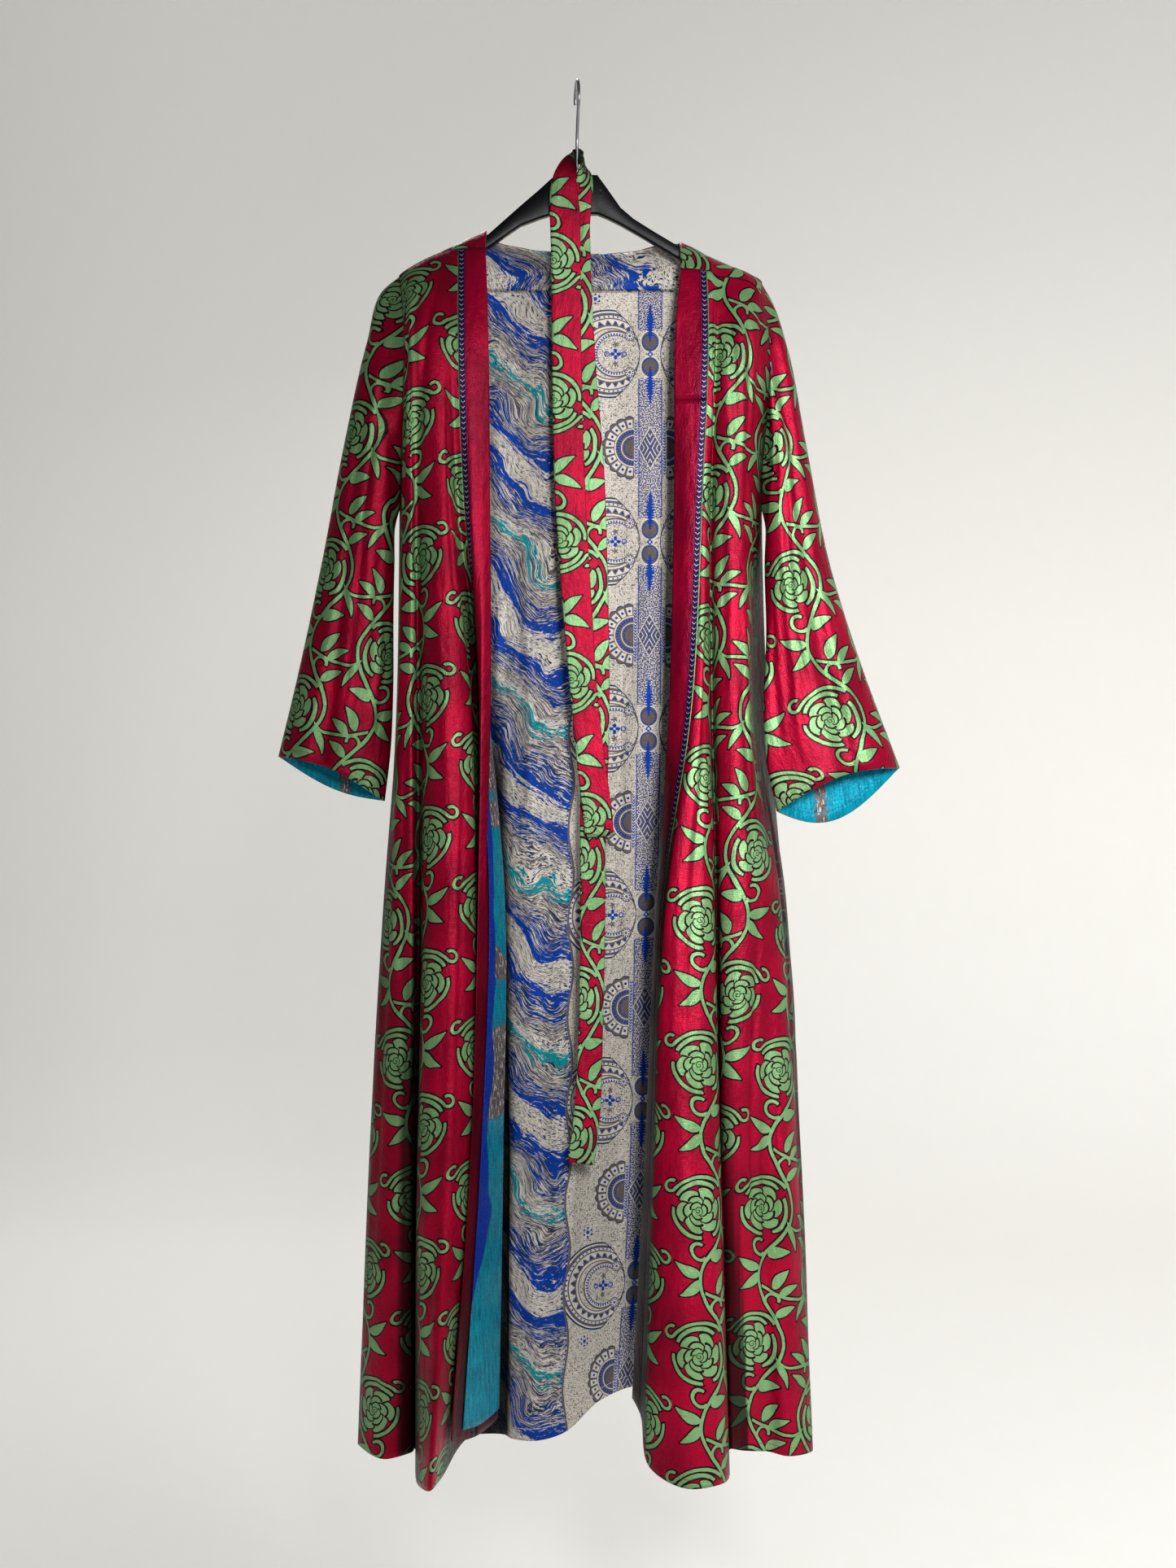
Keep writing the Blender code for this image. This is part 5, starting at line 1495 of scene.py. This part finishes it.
print("hanger")
hanger = {
    # x, upper z, lower z, half depth
    "line": [
        [-187, -216, -226, 4.0], [-176, -204, -217, 4.8], [-150, -190, -205, 5.2],
        [-124, -178, -193, 5.4], [-96, -165, -180, 5.6], [-61, -134, -156, 5.8],
        [-40, -116, -148, 6.0], [-27, -104, -144, 6.0], [-20, -101, -143.5, 6.0],
        [0, -100, -143.5, 6.0], [22, -101, -143.5, 6.0], [33, -116, -148, 6.0],
        [47, -136, -155, 5.8], [61, -148, -163, 5.6], [80, -160, -174, 5.6],
        [105, -175, -189, 5.4], [124, -185, -199, 5.2], [150, -198, -212, 5.0],
        [176, -210, -222, 4.8], [190, -220, -229, 4.0],
    ],
    # rings in all, and the rounding of the long edges
    "rings": 153, "corner": 2.4, "cornerSteps": (0, 22.5, 45, 67.5, 90),
}
hook = {
    "wire": 3.4, "radius": 20.0, "turn": math.radians(6.0), "around": 16, "fine": 6,
    # y and z from the foot in the hub up to the bend, then the bend's first, last angle and step
    "stem": [(0.0, -99.7), (0.0, -78.0), (-0.6, -62.0), (-4.5, -51.0)], "bend": (-128, -380, -18),
}


def hangerRings():
    table = np.array(hanger["line"], float)
    at = np.linspace(0, len(table) - 1, hanger["rings"])
    r = hanger["corner"]
    rings = []
    for x, upper, lower, deep in zip(*columnsAt(table, at, range(4))):
        corners = ((deep - r, upper - r, 0), (r - deep, upper - r, 90),
                   (r - deep, lower + r, 180), (deep - r, lower + r, 270))
        ring = []
        for y, z, start in corners:
            for step in hanger["cornerSteps"]:
                a = math.radians(start + step)
                ring.append((x, y + r * math.cos(a), z + r * math.sin(a)))
        rings.append(ring)
    return rings


def hookRings():
    r, wire = hook["radius"], hook["wire"] / 2
    line = list(hook["stem"])
    for angle in range(*hook["bend"]):
        a = math.radians(angle)
        line.append((r * math.cos(a), wire - r + r * math.sin(a)))
    points = np.array([(-y * math.sin(hook["turn"]), y, z) for y, z in line])
    at = np.linspace(0, len(points) - 1, (len(points) - 1) * hook["fine"] + 1)
    points = along(np.repeat(points[None], len(at), 0), at)
    side = np.array([math.cos(hook["turn"]), math.sin(hook["turn"]), 0.0])
    up = np.cross(unit(np.gradient(points, axis=0)), side)
    turn = np.linspace(0, math.tau, hook["around"], endpoint=False)[None, :, None]
    return points[:, None] + wire * (side * np.cos(turn) + up[:, None] * np.sin(turn))


settle(loft("hangerBar", hangerRings(), blackPlastic), "hanger_body")
settle(loft("hookWire", hookRings(), steelWire), "hanger_hook")

print("stage")
stage = {
    "wall": 4.6, "floor": -1.85, "bend": 1.2, "deep": 8.0, "long": 17.0, "wide": 26.0,
    "strips": 40, "colour": colour(226, 224, 218), "grain": colour(234, 232, 228), "fine": 30.0,
    "roughness": 0.9,
    # the glow fades towards the left, past what the photo's view shows
    "glow": 0.44, "fade": (-4.5, -1.0), "dim": 0.12,
    "world": (0.9, 0.93, 1.0, 1), "worldPower": 0.13,
    # where each lamp stands, what it is turned to, its size, watts and spread in degrees
    "lights": {
        "key": ((1.45, -1.75, 0.0), (0.1, 0.0, -0.75), 0.6, 18, 180.0),
        # turned to the right, so that its light fades towards the left sleeve
        "front": ((0.45, -3.2, -0.1), (1.3, 0.0, -0.8), 0.5, 28, 58.5),
        "behind": ((-0.5, 2.9, 2.2), (0.0, 0.0, -0.8), 1.0, 46, 180.0),
    },
    "eye": (0.0119, -2.6, -0.7586), "lens": 55.2, "sensor": 36.0,
}


def paperLook():
    look = Look("pale paper")
    base = look.mix(look.noise(look.place(), stage["fine"]), stage["colour"], stage["grain"])
    lit = look.ease(look.parts(look.place())[0], *stage["fade"], stage["dim"], 1.0)
    look.set(Base_Color=base, Roughness=stage["roughness"], Emission_Strength=stage["glow"],
             Emission_Color=look.mix(lit, grey(0.0), stage["colour"]))
    return look.material


def makeBackdrop():
    # a floor that bends up into a wall
    bm = bmesh.new()
    bmesh.ops.create_grid(bm, x_segments=1, y_segments=stage["strips"], size=0.5)
    deep, r = stage["deep"], stage["bend"]
    quarter = r * math.pi / 2
    for v in bm.verts:
        run = (v.co.y + 0.5) * stage["long"]
        a = min(max((run - deep) / r, 0.0), math.pi / 2)
        y = stage["wall"] - r + r * math.sin(a) + min(run - deep, 0.0)
        z = stage["floor"] + r - r * math.cos(a) + max(run - deep - quarter, 0.0)
        v.co = (v.co.x * stage["wide"], y, z)
    bmesh.ops.recalc_face_normals(bm, faces=bm.faces)
    addMesh("backdrop", bm, paperLook())


def addLight(name, place, aim, size, power, spread):
    data = bpy.data.lights.new(name, "AREA")
    data.size = size
    data.energy = power
    data.spread = math.radians(spread)
    lamp = bpy.data.objects.new(name, data)
    bpy.context.scene.collection.objects.link(lamp)
    lamp.rotation_euler = (Vector(aim) - Vector(place)).to_track_quat("-Z", "Y").to_euler()
    lamp.location = place


makeBackdrop()
for name, values in stage["lights"].items():
    addLight(name, *values)
world = bpy.data.worlds.new("soft room")
world.use_nodes = True
background = world.node_tree.nodes["Background"]
background.inputs["Color"].default_value = stage["world"]
background.inputs["Strength"].default_value = stage["worldPower"]
bpy.context.scene.world = world
bpy.context.scene.view_settings.view_transform = "Standard"

eye = bpy.data.cameras.new("camera")
eye.sensor_width = stage["sensor"]
eye.lens = stage["lens"]
camera = bpy.data.objects.new("camera", eye)
camera.location = stage["eye"]
camera.rotation_euler = (math.radians(90), 0, 0)
bpy.context.scene.collection.objects.link(camera)
bpy.context.scene.camera = camera
